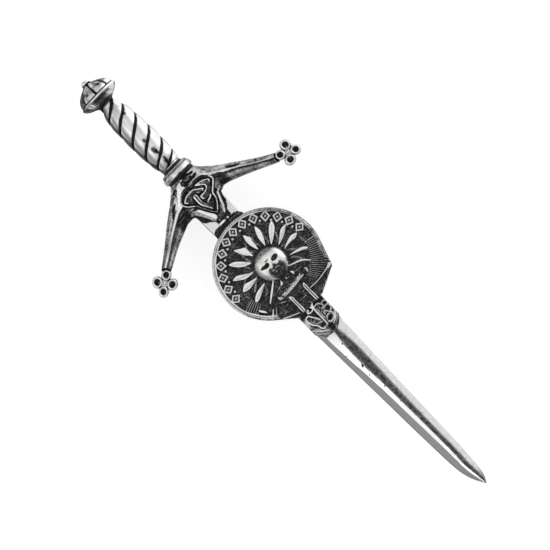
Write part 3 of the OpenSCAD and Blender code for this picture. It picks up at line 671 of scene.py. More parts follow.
def guard_face(x, y):
    """The guard's smooth form over points of its outline: a ridge with a facet on each side."""
    ax = np.abs(x)
    low, high = arm_edges(x)
    middle, half = (high + low) / 2, (high - low) / 2
    thick, flat = (np.interp(ax, ARM_X, t) for t in (ARM_THICK, ARM_FLAT))
    # Share of the half width at which the ridge runs, which is higher on the right arm
    ridge = 0.12 + 0.13 * ramp(-3, 3, x)
    s = (y - middle) / half
    span = np.where(s > ridge, 1 - ridge - flat, 1 + ridge - flat)
    fall = np.clip((np.abs(s - ridge) - flat) / span, 0, 1.2)
    fall = np.sqrt(fall ** 2 + 0.004) - sqrt(0.004)
    face = Relief(x, y, np.where(s >= -1.001, thick * (1 - 0.46 * fall), 0), 0.9)
    # Long streaks of wear run along both facets of an arm
    up = np.clip((s - ridge) / (1 - ridge), 0, 1)
    down = np.clip((ridge - s) / (1 + ridge), 0, 1)
    wander = 0.05 * grain(x, s, 1.6, 33)
    out = ramp(8.5, 11.5, ax)
    left_up = np.interp(up + wander, [0, 0.13, 0.18, 0.24, 0.32, 0.5, 0.58, 0.67, 0.78, 0.9, 1],
                        [1, 0.95, 0.7, 0.42, 0.6, 0.82, 0.66, 0.42, 0.56, 0.5, 0.4])
    left_up = left_up * (1 - out) + out * np.interp(up, [0, 0.2, 0.32, 0.5, 0.75, 1],
                                                    [1, 1, 0.6, 0.42, 0.46, 0.4])
    right_up = np.interp(up + wander, [0, 0.09, 0.16, 0.26, 0.4, 0.6, 0.8, 0.92, 1],
                         [1, 0.92, 0.66, 0.52, 0.64, 0.72, 0.62, 0.7, 0.55])
    left_low = np.interp(down + wander, [0, 0.06, 0.12, 0.2, 0.42, 0.54, 0.74, 0.82, 0.9, 1],
                         [1, 0.9, 0.3, 0.26, 0.34, 0.58, 0.64, 0.42, 0.5, 0.3])
    left_low += (0.3 * grit(x * 0.8, y * 0.8, 34) * ramp(0.35, 0.55, down)
                 - 0.5 * ramp(7.4, 6.4, ax) * ramp(0.1, 0.2, down))
    right_low = np.interp(
        down + wander, [0, 0.06, 0.12, 0.16, 0.25, 0.36, 0.45, 0.7, 0.78, 0.83, 0.88, 0.93, 1],
        [1, 0.85, 0.4, 0.08, 0.1, 0.45, 0.64, 0.64, 0.54, 0.32, 0.34, 0.6, 0.45])
    right_low += (0.12 * grain(x * 0.4 - y, s * 3, 0.35, 37)
                  - 0.5 * ramp(6.3, 5.0, ax) * ramp(0.1, 0.2, down))
    right_low -= 0.24 * ramp(11.5, 13.2, ax) * ramp(0.9, 0.7, down)
    streaks = 0.14 * grain(x * 0.3 + y, s * 2.2, 0.5, 35) + 0.08 * grit(x, y, 36)
    upper = np.where(x < 0, left_up, right_up) + streaks
    arms = np.where(s < ridge, np.where(x < 0, left_low, right_low), upper)
    # Over the hub the polish is an even mid grey, which is painted shade
    hub = ramp(4.6, 3.0, ax)
    face.polish_and_shade = arms * (1 - hub) + (0.66 + 0.16 * grain(x, y, 0.7, 31) + 0.08 * grit(x, y, 32)) * hub
    return face


def shape_langets(face):
    """The two legs and their black flanks, over the blade."""
    x, y = face.x, face.y
    seat = BLADE_T + SEAT_GAP
    left, _ = to_path(x, y, LEFT_FLANK)
    right, _ = to_path(x, y, RIGHT_FLANK)
    out = np.minimum(left, right)
    low = (inside(x, y, LEFT_FLANK + RIGHT_FLANK + [(4.1, 21.0), (-3.0, 21.0)]) | (out < 0.04)) & (y < 21)
    ground = seat + 0.1 + (WEB_UP - 0.1) * ramp(0.0, 0.55, out)
    face.z = np.where(low, np.maximum(ground, face.z * ramp(19.9, 20.7, y)), face.z)
    web = inside(x, y, [(-1.3, 20.0), (0.0, 16.3), (1.6, 16.3), (2.5, 20.0)])
    dull = low & ((face.z < ground + 0.3) | (y < 20.9) & ((x < -1.2) | (x > 2.5)))
    face.polish_and_shade = np.where(dull, 0.08 + 0.22 * web, face.polish_and_shade)
    up = LANGET_UP - WEB_UP
    face.ground = np.full(x.shape, seat + WEB_UP)
    # A grey bevel and a bright face on the left leg, and two ribs on the right one
    face.plateau([(-2.9, 20.3), (-2.5, 20.5), (-2.0, 20.3), (-1.55, 19.2), (-1.1, 18.1), (-0.7, 17.1),
                  (-0.5, 16.5), (-0.95, 16.75), (-1.45, 17.7), (-1.95, 18.65), (-2.35, 19.4),
                  (-2.7, 19.85)], up * 0.6, 0.7, 0.08)
    for knob in ([(-3.35, 20.05), (-3.2, 20.6), (-2.5, 20.8), (-2.2, 20.4), (-2.5, 19.95)],
                 [(3.2, 20.05), (3.3, 20.7), (3.8, 20.95), (4.3, 20.7), (4.2, 20.3), (3.6, 20.0)]):
        face.hollow(knob, 0.0, 0.55, 0.2)
    face.plateau([(-2.05, 20.3), (-1.95, 19.8), (-1.55, 18.95), (-1.15, 18.0), (-0.85, 17.3), (-0.62, 16.8),
                  (-0.25, 16.68), (0.08, 17.1), (-0.02, 17.8), (-0.45, 18.5), (-1.0, 19.4), (-1.45, 20.2)],
                 up, 1.0, 0.16)
    face.mound((-0.16, 16.3), 0.24, 0.2, up * 0.6, 0.86)
    each(face.stroke, [
        ([(3.6, 20.4), (3.1, 20.05), (2.8, 19.4), (2.42, 18.5), (2.08, 17.6), (1.5, 16.75)], 0.5,
         up * 0.95, 0.8, (0.8, 0.9)),
        ([(3.0, 20.0), (2.68, 19.3), (2.25, 18.3), (1.85, 17.4)], 0.24, up, 0.95, (0.5, 0.5)),
        ([(1.9, 18.5), (1.75, 17.8), (1.4, 17.0)], 0.3, up * 0.8, 0.62, (0.6, 0.6)),
        ([(-1.05, 20.3), (-0.6, 19.0), (0.1, 18.0)], 0.13, up * 0.6, 0.34),
        ([(-1.7, 20.75), (-1.2, 20.15)], 0.18, up, 0.62)])
    # The flat end of the langets, with bright spots where it is rubbed
    tip = low & (y < 16.15)
    face.z = np.where(tip, seat + 0.45, face.z)
    face.polish_and_shade = np.where(tip, 0.06, face.polish_and_shade)
    face.ground = face.z.copy()
    face.plateau([(-0.78, 15.78), (-0.7, 15.42), (0.3, 15.4), (0.3, 15.82)], 0.1, 1.0, 0.1)
    each(face.mound, [
        ((0.55, 15.62), 0.2, 0.2, 0.1, 0.66),
        ((1.22, 15.65), 0.22, 0.22, 0.1, 0.95),
        ((1.95, 15.62), 0.2, 0.2, 0.1, 0.45)])


def sink_panel(face):
    """The knot's sunk panel, with a raised border below and at both sides."""
    x, y = face.x, face.y
    floor = HUB_T - 0.85 - 0.55 * ramp(20.5, 17.6, y)
    where, deep = face.within(PANEL, 0.3)
    wall = ramp(-0.02, 0.14, deep)
    rough = grit(x[where], y[where], 57)
    face.z[where] += (floor[where] - face.z[where]) * wall
    face.polish_and_shade[where] += (0.12 + 0.14 * rough - face.polish_and_shade[where]) * wall
    face.ground = face.z.copy()
    draw_knot(face)
    # Light specks on the channel over the knot
    face.plateau([(-0.1, 24.45), (0.1, 23.95), (0.75, 23.9), (0.95, 24.2), (0.6, 24.5)], 0.3, 0.5, 0.3)
    face.stroke([(-1.6, 23.85), (-0.9, 24.05)], 0.14, 0.2, 0.25)
    crest = HUB_T + 0.08 - 0.55 * ramp(20.6, 17.4, y)
    for line, width, shine in ((BORDER_LEFT, 0.27, 0.86), (BORDER_RIGHT, 0.31, 1.0),
                               (BORDER_FOOT, 0.2, 0.56)):
        d, _ = to_path(x, y, curve(line))
        fill = 1 - ramp(-0.05, 0.05, d - width / 2)
        outside = ramp(width / 2 + 0.32, width / 2 + 0.1, d) * (1 - fill) * (y < 22.5)
        face.z -= 0.15 * outside
        face.polish_and_shade *= 1 - 0.7 * outside
        face.z = np.maximum(face.z, floor + (crest - floor) * fill)
        face.polish_and_shade = np.where(fill > 0.3, np.maximum(face.polish_and_shade, shine * ramp(0.3, 0.8, fill)),
                               face.polish_and_shade)
    face.ground = face.z.copy()


def mark_guard(face):
    """The rough recess over the panel, the slits in the arms and the dark lines of the mould."""
    face.ground = face.z.copy()
    # Bright patches on the hub's upper shoulders, which are painted highlights
    face.plateau([(-4.4, 22.75), (-3.3, 22.95), (-2.8, 23.6), (-2.0, 24.2), (-1.2, 24.55), (-0.6, 24.7),
                  (-0.55, 25.5), (-0.2, 26.0), (0.1, 26.35), (-0.7, 26.25), (-1.5, 25.75), (-2.1, 25.1),
                  (-3.0, 24.3), (-4.3, 23.3)], 0.02, 0.9, 0.25)
    face.plateau([(2.65, 26.1), (3.05, 26.0), (3.1, 25.2), (3.4, 24.5), (4.1, 23.85), (5.2, 23.2),
                  (4.3, 23.1), (3.8, 23.75), (3.0, 24.35), (2.7, 25.0)], 0.02, 0.8, 0.25)
    face.hollow([(-0.7, 25.5), (-0.25, 25.95), (0.3, 26.2), (1.2, 26.2), (1.9, 26.0), (2.55, 25.95),
                 (2.2, 25.55), (2.7, 25.2), (2.5, 24.85), (1.6, 24.85), (0.6, 24.72), (-0.45, 24.72)], 0.5,
                0.05, 0.12, 0.28)
    face.ground = face.z.copy()
    each(face.stroke, [
        ([(1.6, 25.42), (2.1, 25.48), (2.7, 25.55)], 0.3, 0.4, 0.95, (0.3, 1.0)),
        ([(1.0, 25.75), (1.8, 25.7)], 0.3, 0.2, 0.42),
        ([(0.2, 25.7), (0.6, 25.45), (1.1, 25.4)], 0.34, 0.16, 0.38),
        ([(-0.3, 25.5), (-0.3, 25.2)], 0.3, 0.16, 0.36),
        ([(0.85, 24.52), (1.2, 24.6), (2.2, 24.62), (3.1, 24.35), (3.9, 23.6)], 0.2, 0.12, 1.0,
         (0.8, 0.8)),
        ([(-0.9, 26.1), (0.2, 26.3), (1.4, 26.3), (2.9, 26.0)], 0.2, 0.15, 1.0)])
    face.polish_and_shade *= 1 - 0.85 * ramp(26.4, 26.48, face.y)
    face.cut([(-1.9, 24.25), (-1.0, 24.45), (-0.2, 24.45), (0.1, 24.7)], 0.3, 0.12, 0.14, (0.5, 0.9), 0.08)
    face.cut([(1.0, 24.3), (2.0, 24.38), (3.0, 24.12), (3.75, 23.5)], 0.32, 0.15, 0.2, (0.7, 0.6), 0.04)
    # Grey streaks of the old finish down the right shoulder
    for shift, shade in ((0.0, 0.5), (0.45, 0.56), (0.9, 0.46)):
        face.cut([(3.3 + shift * 0.5, 25.8 + shift * 0.1), (3.8 + shift * 0.7, 24.9 + shift * 0.3),
                  (4.9 + shift, 23.75 + shift * 0.4)], 0.26, 0.03, shade, (0.6, 0.5), 0.06)
    # The left arm's slit, the dark patch over it, and dull streaks
    face.hollow([(-6.05, 22.1), (-5.7, 22.15), (-4.6, 23.15), (-3.85, 23.75), (-4.1, 23.8), (-4.8, 23.55),
                 (-5.5, 22.85), (-6.05, 22.35)], 0.3, 0.04, 0.1, 0.05)
    each(face.cut, [
        ([(-3.0, 25.15), (-2.5, 25.4), (-2.1, 25.55)], 0.5, 0.25, 0.06, (0.7, 0.9), 0.12),
        ([(-5.0, 24.15), (-4.0, 24.6), (-3.2, 24.85)], 0.34, 0.1, 0.28, (0.5, 0.8), 0.08),
        ([(-3.4, 24.55), (-2.4, 25.0), (-1.95, 25.35)], 0.2, 0.08, 0.35, (0.5, 0.8), 0.08),
        ([(-2.3, 25.9), (-2.0, 26.1), (-1.4, 26.2)], 0.3, 0.08, 0.5, (0.5, 0.5), 0.08)])
    face.stroke([(-5.9, 20.75), (-5.0, 20.95), (-4.2, 21.0)], 0.16, 0.06, 0.36)
    face.stroke([(-5.0, 21.5), (-4.0, 21.85), (-3.6, 21.8)], 0.2, 0.06, 0.36)
    face.cut([(-6.5, 20.35), (-5.2, 20.55), (-3.8, 20.75), (-3.3, 20.55)], 0.3, 0.06, 0.02, (0.5, 0.8),
             0.08)
    # The right arm's slit, its spot, the black hollow beside the panel, and a dull streak
    face.hollow([(7.15, 22.3), (7.5, 22.25), (8.4, 21.6), (9.2, 21.15), (9.45, 20.93), (9.0, 21.0),
                 (8.1, 21.4), (7.3, 21.95)], 0.26, 0.04, 0.08, 0.04)
    face.pit((11.83, 19.5), 0.2, 0.17, 0.16, 0.1)
    face.pit((5.15, 20.75), 0.8, 0.45, 0.2, 0.02, -0.25)
    face.cut([(4.3, 22.5), (5.4, 22.3), (6.4, 21.75)], 0.5, 0.08, 0.22, (0.4, 0.5), 0.1)
    # Black joints where the arms meet their finials
    for place in ((-13.91, 16.07), (15.68, 16.87)):
        far = np.hypot(face.x - place[0], face.y - place[1])
        face.polish_and_shade *= 0.4 + 0.6 * ramp(1.1, 1.24, far)
        face.z = np.where(far < 1.2, np.minimum(face.z, 0.7 + 1.3 * ramp(1.04, 1.2, far)), face.z)
    # A faint streak beside the panel's right corner
    face.cut([(3.9, 23.1), (4.8, 22.85), (5.8, 22.4)], 0.2, 0.06, 0.4, (0.4, 0.4))


def build_guard():
    fine = np.linspace(-HUB_HALF, HUB_HALF, 200)
    coarse = np.linspace(HUB_HALF, ARM_X[-1], 140)[1:]
    x = np.concatenate([-coarse[::-1], fine, coarse])
    arm_low, high = arm_edges(x)
    flank_x, flank_y = to_hilt(*np.array(LEFT_FLANK + RIGHT_FLANK).T)
    langet_low = np.interp(x, flank_x, flank_y)
    langet_low += 0.09 * grain(x, x * 0, 0.35, 47) * (langet_low > flank_y.min() + 0.2)
    low = np.where((x > flank_x[0]) & (x < flank_x[-1]), np.minimum(langet_low, arm_low), arm_low)
    v = spaced(150)
    y = low[:, None] * (1 - v) + high[:, None] * v
    xx = np.broadcast_to(x[:, None], y.shape)
    face = guard_face(xx.copy(), y)
    face.x, face.y = from_hilt(face.x, face.y)
    shape_langets(face)
    sink_panel(face)
    mark_guard(face)
    face.roughen(0.04, 51)
    # The underside is stepped, so that the langets lie on the blade
    over_blade = (x > flank_x[0] + 0.25) & (x < flank_x[-1] - 0.25)
    foot_z = np.where(over_blade, BLADE_T + SEAT_GAP, 0.0)
    step_y = np.where(over_blade, 0.0, low)
    feet = [np.stack([x, foot_y, z], -1)
            for foot_y, z in ((high, 0 * x), (step_y, 0 * x), (step_y, foot_z), (low, foot_z))]
    relief_piece("crossguard_casting", xx, y, face, feet, 3, 0.3, on_hilt, ANTIQUE, "crossguard")


# Finials: radius, height and polish of a pitted ring, the web and the pellet, from the middle out
LOBE_R = 1.04
LOBE_PROFILE = [(0.01, 1.2, 0.24), (0.3, 1.22, 0.22), (0.42, 1.3, 0.16), (0.5, 1.5, 0.14), (0.55, 1.8, 0.6),
                (0.6, 1.95, 1.0), (0.7, 2.0, 1.0), (0.84, 1.99, 1.0), (0.9, 1.88, 0.8), (0.96, 1.68, 0.5),
                (1.01, 1.35, 0.3), (1.03, 1.0, 0.2), (1.03, 0.5, 0.25), (1.03, 0.0, 0.25)]
WEB_PROFILE = [(0.02, 1.72, 0.8), (0.4, 1.72, 0.75), (0.7, 1.66, 0.5), (0.95, 1.5, 0.35), (1.0, 1.1, 0.2),
               (1.0, 0.0, 0.3)]
PELLET_PROFILE = [(0.02, 1.92, 0.9), (0.18, 1.9, 0.9), (0.3, 1.8, 0.85), (0.37, 1.62, 0.5),
                  (0.42, 1.3, 0.15), (0.42, 0.6, 0.15)]


def build_finial(name, side, turn, nudge, spread, skew):
    """Four pitted rings round a pellet, on a web, at the end of an arm."""
    centre = np.array([ARM_REACH + LOBE_R * 1.58 + nudge[0], HUB_H / 2 - ARM_DROP * 1.145 + nudge[1]])
    angle = np.linspace(0, 2 * pi, 56, endpoint=False)
    square = np.array([(cos(a), sin(a)) for a in angle]) * spread * 1.02
    square /= np.abs(square).max(1, keepdims=True) / (spread * 1.02)
    circle = np.column_stack([np.cos(angle), np.sin(angle)])
    shapes = [(square, (0, 0), 1.0, WEB_PROFILE), (circle, (0, 0), 1.0, PELLET_PROFILE)]
    shapes += [(circle, (sx * spread, sy * spread), 1 + 0.03 * sx * sy, LOBE_PROFILE)
               for sx in (-1, 1) for sy in (-1, 1)]
    solids = Solids()
    for k, (loop, place, scale, profile) in enumerate(shapes):
        wobble = 1 + 0.03 * np.sin(2 * angle + k) + 0.015 * np.sin(3 * angle + 2 * k)
        r, z, shine = (np.array(column)[:, None] for column in zip(*profile))
        flat = loop * (r * scale * wobble)[..., None] + place
        polish_and_shade = shine + 0.12 * grain(flat[..., 0], flat[..., 1], 0.4, 55 + k)
        x, y = flat[..., 0], flat[..., 1] * 0.96
        rings = np.stack([side * (centre[0] + x * cos(turn) - y * (sin(turn) + skew)),
                          centre[1] + x * sin(turn) + y * cos(turn), np.broadcast_to(z, x.shape)], -1)
        solids.add(on_hilt(rings), polish_and_shade)
    solids.make(name, ANTIQUE, sharp=60)


# Round hilt pieces with a flat back

def round_grid(length, stations, columns):
    """Stations along a round piece and angles round it, and a grid of each."""
    y = np.linspace(0, length, stations)
    angle = np.linspace(-pi, pi, columns, endpoint=False)
    return y, angle, *np.meshgrid(angle, y)


def round_piece(name, node, finish, radius, polish_and_shade, y, angle):
    """A round piece of the hilt from its radius at each station and angle, cut flat at the back."""
    z = np.maximum(HILT_AXIS + radius * np.cos(angle)[None, :], 0)
    rings = np.stack([radius * np.sin(angle)[None, :], np.broadcast_to(y[:, None], radius.shape), z], -1)
    ring_piece(name, on_hilt(rings), polish_and_shade, finish, node)


def side_shade(angle):
    """How much of the polish is kept towards both sides of a round piece; what is taken off is painted
    shade.
    """
    return 1 - 0.72 * ramp(radians(-36), radians(-60), angle) - 0.45 * ramp(radians(62), radians(84), angle)


def eased_profile(profile, stations, blur):
    """The radius at each station, with the profile's corners smoothed."""
    s, r = np.array(profile, float).T
    shifts = np.linspace(-blur, blur, 5)
    return np.mean([np.interp(stations + q, s, r) for q in shifts], axis=0)


COLLAR_PROFILE = [(0, 2.9), (0.12, 2.88), (0.2, 2.78), (0.5, 2.8), (0.6, 3.05), (0.74, 3.18), (1.1, 3.2),
                  (1.5, 3.08), (1.68, 2.95), (1.76, 2.8), (1.84, 2.8), (1.92, 2.86), (2.1, 2.8),
                  (2.24, 2.5), (2.34, 2.14), (2.45, 2.04), (2.8, 2.02)]


def build_collar():
    y, angle, aa, yy = round_grid(COLLAR_H, 120, 180)
    r = eased_profile(COLLAR_PROFILE, y, 0.03)
    radius = np.repeat(r[:, None], len(angle), 1)
    px = radius * np.sin(aa)
    skin = grit(px, yy, 61)
    polish_and_shade = 0.93 + 0.06 * grain(px, yy, 0.8, 62)
    for place, half, shade in ((0.2, 0.34, 0.08), (1.72, 0.22, 0.5), (2.38, 0.34, 0.1)):
        line = place + 0.06 * grain(px, px * 0, 0.5, 63) + 0.05 * skin
        band = 1 - ramp(half * 0.7, half * 1.25, np.abs(yy - line))
        polish_and_shade += (shade - polish_and_shade) * band
        radius += 0.06 * skin * band
    # Dull patches of the old finish on the barrel, and a patch of painted shade at its left side
    for place, low, wide, shade in ((-2.3, 1.0, 0.32, 0.46), (0.15, 0.62, 0.34, 0.6), (2.9, 0.9, 0.3, 0.3),
                                    (-1.2, 0.5, 0.3, 0.3)):
        dull = np.exp(-((px - place) / wide) ** 2 - ((yy - low) / 0.3) ** 2)
        polish_and_shade -= shade * dull * (0.9 + 0.5 * skin)
    # Painted shade towards both sides of the collar
    polish_and_shade *= 1 - 0.42 * ramp(radians(-38), radians(-60), aa) - 0.35 * ramp(radians(46), radians(72), aa)
    round_piece("collar_casting", "collar", POLISHED, radius, polish_and_shade, COLLAR_Y + y, angle)


GRIP_PROFILE = [(0, 2.02), (0.8, 2.24), (1.75, 2.44), (2.7, 2.56), (4.7, 2.66), (6.4, 2.7), (8, 2.68),
                (9.5, 2.6), (11.8, 2.55), (12.8, 2.42), (13.8, 2.2), (14.3, 2.04), (14.9, 1.78),
                (15.4, 1.6), (15.9, 1.58)]
# Where each groove crosses the middle of the face, from the grip's foot, and strands to a full turn
GROOVES = [-1.6, 0.3, 2.44, 5.66, 8.85, 12.12, 14.7, 17.0]
STRANDS = 3.35


def build_grip():
    y, angle, aa, yy = round_grid(GRIP_LEN, 300, 200)
    r = eased_profile(GRIP_PROFILE, y, 0.3)[:, None]
    count = np.interp(yy, GROOVES, range(len(GROOVES)))
    lane = np.abs((STRANDS * aa / (2 * pi) - count + 0.5) % 1 - 0.5)
    gap = lane * 2 * pi / STRANDS * r * 0.72
    swell = np.sqrt(np.clip(1 - ((0.5 - lane) / 0.5) ** 2 * 0.9, 0, 1))
    groove = 1 - ramp(0.24, 0.44, gap + 0.05 * grain(yy, aa * 3, 0.7, 71))
    radius = r - 0.2 * (1 - swell) - 0.36 * groove
    skin = grit(aa * 2.6, yy, 72)
    radius += 0.04 * skin * groove
    polish_and_shade = 0.91 + 0.1 * grain(aa * 2.6, yy * 0.4, 0.5, 73)
    polish_and_shade += (0.08 - polish_and_shade) * ramp(0.2, 0.7, groove)
    # Worn dull spots beside the lower grooves
    for turn, place, wide, tall in ((0.0, 3.85, 0.17, 0.6), (0.06, 3.3, 0.1, 0.5), (0.13, 1.35, 0.1, 0.7),
                                    (0.02, 0.8, 0.12, 0.6), (-0.02, 6.3, 0.12, 0.4), (-0.95, 1.8, 0.1, 0.8),
                                    (0.42, 12.4, 0.12, 0.3)):
        spot = np.exp(-((aa - turn) / wide) ** 4 - ((yy - place) / tall) ** 4)
        polish_and_shade -= 0.75 * spot * (0.85 + 0.4 * skin)
        radius -= 0.06 * spot
    polish_and_shade -= 0.45 * ramp(13.6, 15.2, yy) * ramp(-0.2, -0.9, aa) + 0.3 * ramp(0.45, 0.1, yy)
    polish_and_shade *= 1 - 0.6 * ramp(15.5, 15.8, yy)
    # Painted shade towards both sides of the grip
    polish_and_shade *= side_shade(aa)
    round_piece("grip_casting", "grip", POLISHED, radius, polish_and_shade, GRIP_Y + y, angle)


POMMEL_PROFILE = [(0, 1.62), (0.12, 1.64), (0.3, 1.85), (0.5, 2.2), (0.85, 3.0), (1.25, 3.6), (1.6, 3.9),
                  (1.85, 3.99), (2.02, 3.97), (2.12, 3.84), (2.22, 3.72), (2.5, 3.78), (3.1, 3.55),
                  (3.7, 3.03), (4.2, 2.3), (4.5, 1.65), (4.75, 1.12), (4.88, 0.94), (4.98, 0.88),
                  (5.1, 0.9), (5.3, 0.82), (5.55, 0.62), (5.78, 0.36), (5.92, 0.12), (5.95, 0.03)]
POMMEL_RIBS = 8


def build_pommel():
    y, angle, aa, yy = round_grid(POMMEL_H, 230, 240)
    r = eased_profile(POMMEL_PROFILE, y, 0.05)[:, None]
    lane = np.abs((POMMEL_RIBS * aa / (2 * pi) + 0.5) % 1 - 0.5)
    gap = lane * 2 * pi / POMMEL_RIBS * r
    dome = ramp(2.15, 2.3, yy) * ramp(4.98, 4.84, yy)
    groove = (1 - ramp(0.13, 0.32, gap + 0.05 * grain(yy, aa, 0.5, 81))) * dome
    bulge = np.sqrt(np.clip(1 - ((0.5 - lane) / 0.5) ** 2, 0, 1))
    px = r * np.sin(aa)
    skin = grit(px, yy, 82)
    radius = r - 0.24 * groove - 0.16 * (1 - bulge) * dome
    # The gores are rubbed bright at their feet and stay dull above
    polish_and_shade = 0.95 + 0.08 * grain(px, yy, 0.9, 83)
    polish_and_shade -= (dome * ramp(2.75, 3.3, yy + 0.35 * grain(px, yy, 0.8, 86))
               * (0.38 + 0.25 * grain(px, yy, 0.6, 85)))
    polish_and_shade += (0.02 - polish_and_shade) * ramp(0.2, 0.7, groove)
    for place, half, shade in ((2.18, 0.13, 0.02), (4.97, 0.14, 0.04), (0.12, 0.2, 0.05),
                               (5.62, 0.05, 0.3)):
        band = 1 - ramp(half * 0.6, half * 1.3, np.abs(yy - place))
        polish_and_shade += (shade - polish_and_shade) * band
    # The underside is black in the middle, below its edge and at its foot, with dull streaks beside
    under = ramp(1.75, 1.6, yy)
    middle = np.exp(-((px + 0.1) / 1.3) ** 2)
    band = np.exp(-((yy - 1.35) / 0.2) ** 2) * ramp(-1.7, -0.9, px) * ramp(2.6, 1.6, px)
    foot = ramp(0.75, 0.35, yy) * ramp(2.6, 1.8, np.abs(px))
    dark = np.clip(0.6 * middle + 0.8 * band + 0.8 * foot, 0, 1) * under
    polish_and_shade -= dark * (0.85 + 0.35 * skin)
    polish_and_shade -= 0.42 * under * (1 - dark) * (0.8 + 0.6 * grain(px + 0.5 * yy, yy * 0.3, 0.3, 84))
    for turn, place, size in ((0.45, 3.3, 0.3), (-0.35, 3.1, 0.16), (-0.6, 3.6, 0.3)):
        spot = np.exp(-((aa - turn) * 3.4 / size) ** 2 - ((yy - place) / size) ** 2)
        polish_and_shade -= 0.6 * spot
        radius -= 0.1 * spot
    # Painted shade towards both sides of the pommel
    polish_and_shade = np.clip(polish_and_shade, 0.02, 1) * side_shade(aa)
    radius += 0.04 * skin * (1 - polish_and_shade)
    round_piece("pommel_casting", "pommel", ANTIQUE, radius, polish_and_shade, POMMEL_Y + y, angle)


# Badge: drawn features are placed in the sword's plane, where the badge's middle and the sun's are
BADGE_AT = (0.47, 4.3)
SUN = (0.76, 4.08)
FACE_R = 3.2
FLAME_STEP = 22.3
# Outlines of the flames, from the upper left one round to the right
FLAMES = [
    [(-2.35, 10.5), (-2.2, 9.6), (-1.75, 8.6), (-1.1, 7.8), (-0.5, 7.2), (-0.42, 8.2), (-0.5, 9.4),
     (-1.2, 9.85)],
    [(-4.85, 9.2), (-4.3, 8.1), (-3.1, 7.05), (-1.5, 6.5), (-2.1, 7.4), (-2.9, 8.3), (-3.8, 9.05)],
    [(-6.3, 6.65), (-5.3, 5.8), (-4.2, 5.2), (-2.3, 5.15), (-3.3, 5.75), (-4.3, 6.4), (-5.3, 6.9)],
    [(-6.4, 3.95), (-5.3, 3.48), (-4.2, 3.6), (-2.6, 4.05), (-4.2, 4.55), (-5.3, 4.8)],
    [(-6.05, 1.1), (-5.4, 0.85), (-4.2, 1.35), (-2.3, 2.45), (-4.2, 2.35), (-5.5, 1.8)],
    [(0.75, 11.25), (0.35, 10.3), (0.3, 9.4), (0.5, 8.3), (0.95, 7.35), (1.2, 8.3), (1.3, 9.3),
     (1.55, 9.85), (1.2, 10.6)],
    [(3.35, 10.95), (2.75, 10.1), (2.3, 8.9), (2.2, 7.0), (2.75, 7.6), (3.35, 8.7), (3.65, 9.8)],
    [(6.2, 9.5), (5.1, 9.1), (4.0, 7.9), (3.1, 6.35), (4.9, 7.4), (6.0, 8.4)],
    [(7.6, 7.3), (6.3, 7.3), (5.2, 6.5), (3.9, 5.45), (5.5, 5.8), (6.9, 6.6)],
    [(8.0, 4.8), (6.9, 5.25), (5.6, 4.95), (4.1, 4.2), (5.8, 4.35), (7.1, 4.25)],
    [(7.6, 1.6), (6.9, 2.35), (5.4, 2.8), (3.8, 2.95), (5.2, 2.35), (6.3, 1.85), (7.1, 1.45)]]
# The strap's row: how many lozenges, over how many degrees, and the radius of them and of the pellets
LOZENGES = 13
ROW_ARC = 176
LOZENGE_AT = 8.58
PELLET_AT = 7.85
LINING_R = 7.25


def badge_outline():
    """The round plate's outline, with the strap's fold at the right and two straight sides below."""
    arc = [(cos(radians(a)), sin(radians(a))) for a in np.linspace(-16, 231, 220)]
    corners = [arc[-1], (-0.304, -1.04), (0.27, -1.05), (0.775, -0.8), (0.805, -0.735), arc[0]]
    points = list(arc)
    for p, q in zip(corners[:-1], corners[1:]):
        n = max(4, int(hypot(q[0] - p[0], q[1] - p[1]) * 60))
        points += [(p[0] + (q[0] - p[0]) * k / n, p[1] + (q[1] - p[1]) * k / n) for k in range(1, n + 1)]
    return np.array(points[:-1]) * BADGE_R


def badge_grid(count):
    """A square grid of points pulled out to the badge's outline."""
    outline = badge_outline()
    angle = np.unwrap(np.arctan2(outline[:, 1], outline[:, 0]))
    radius = np.hypot(outline[:, 0], outline[:, 1])
    angle = np.concatenate([angle, [angle[0] + 2 * pi]])
    radius = np.concatenate([radius, [radius[0]]])
    a, b = np.meshgrid(np.linspace(-1, 1, count), np.linspace(-1, 1, count))
    wide = np.abs(a) > np.abs(b)
    r = np.where(wide, a, b)
    with np.errstate(divide="ignore", invalid="ignore"):
        phi = np.where(wide, pi / 4 * (b / a), pi / 2 - pi / 4 * (a / b))
    phi = np.where(r == 0, 0, phi)
    x, y = r * np.cos(phi), r * np.sin(phi)
    theta = np.arctan2(y, x)
    theta = angle[0] + (theta - angle[0]) % (2 * pi)
    reach = np.interp(theta, angle, radius) * np.hypot(x, y)
    return reach * np.cos(theta), reach * np.sin(theta), outline


def from_sun(point):
    return hypot(point[0] - SUN[0], point[1] - SUN[1])


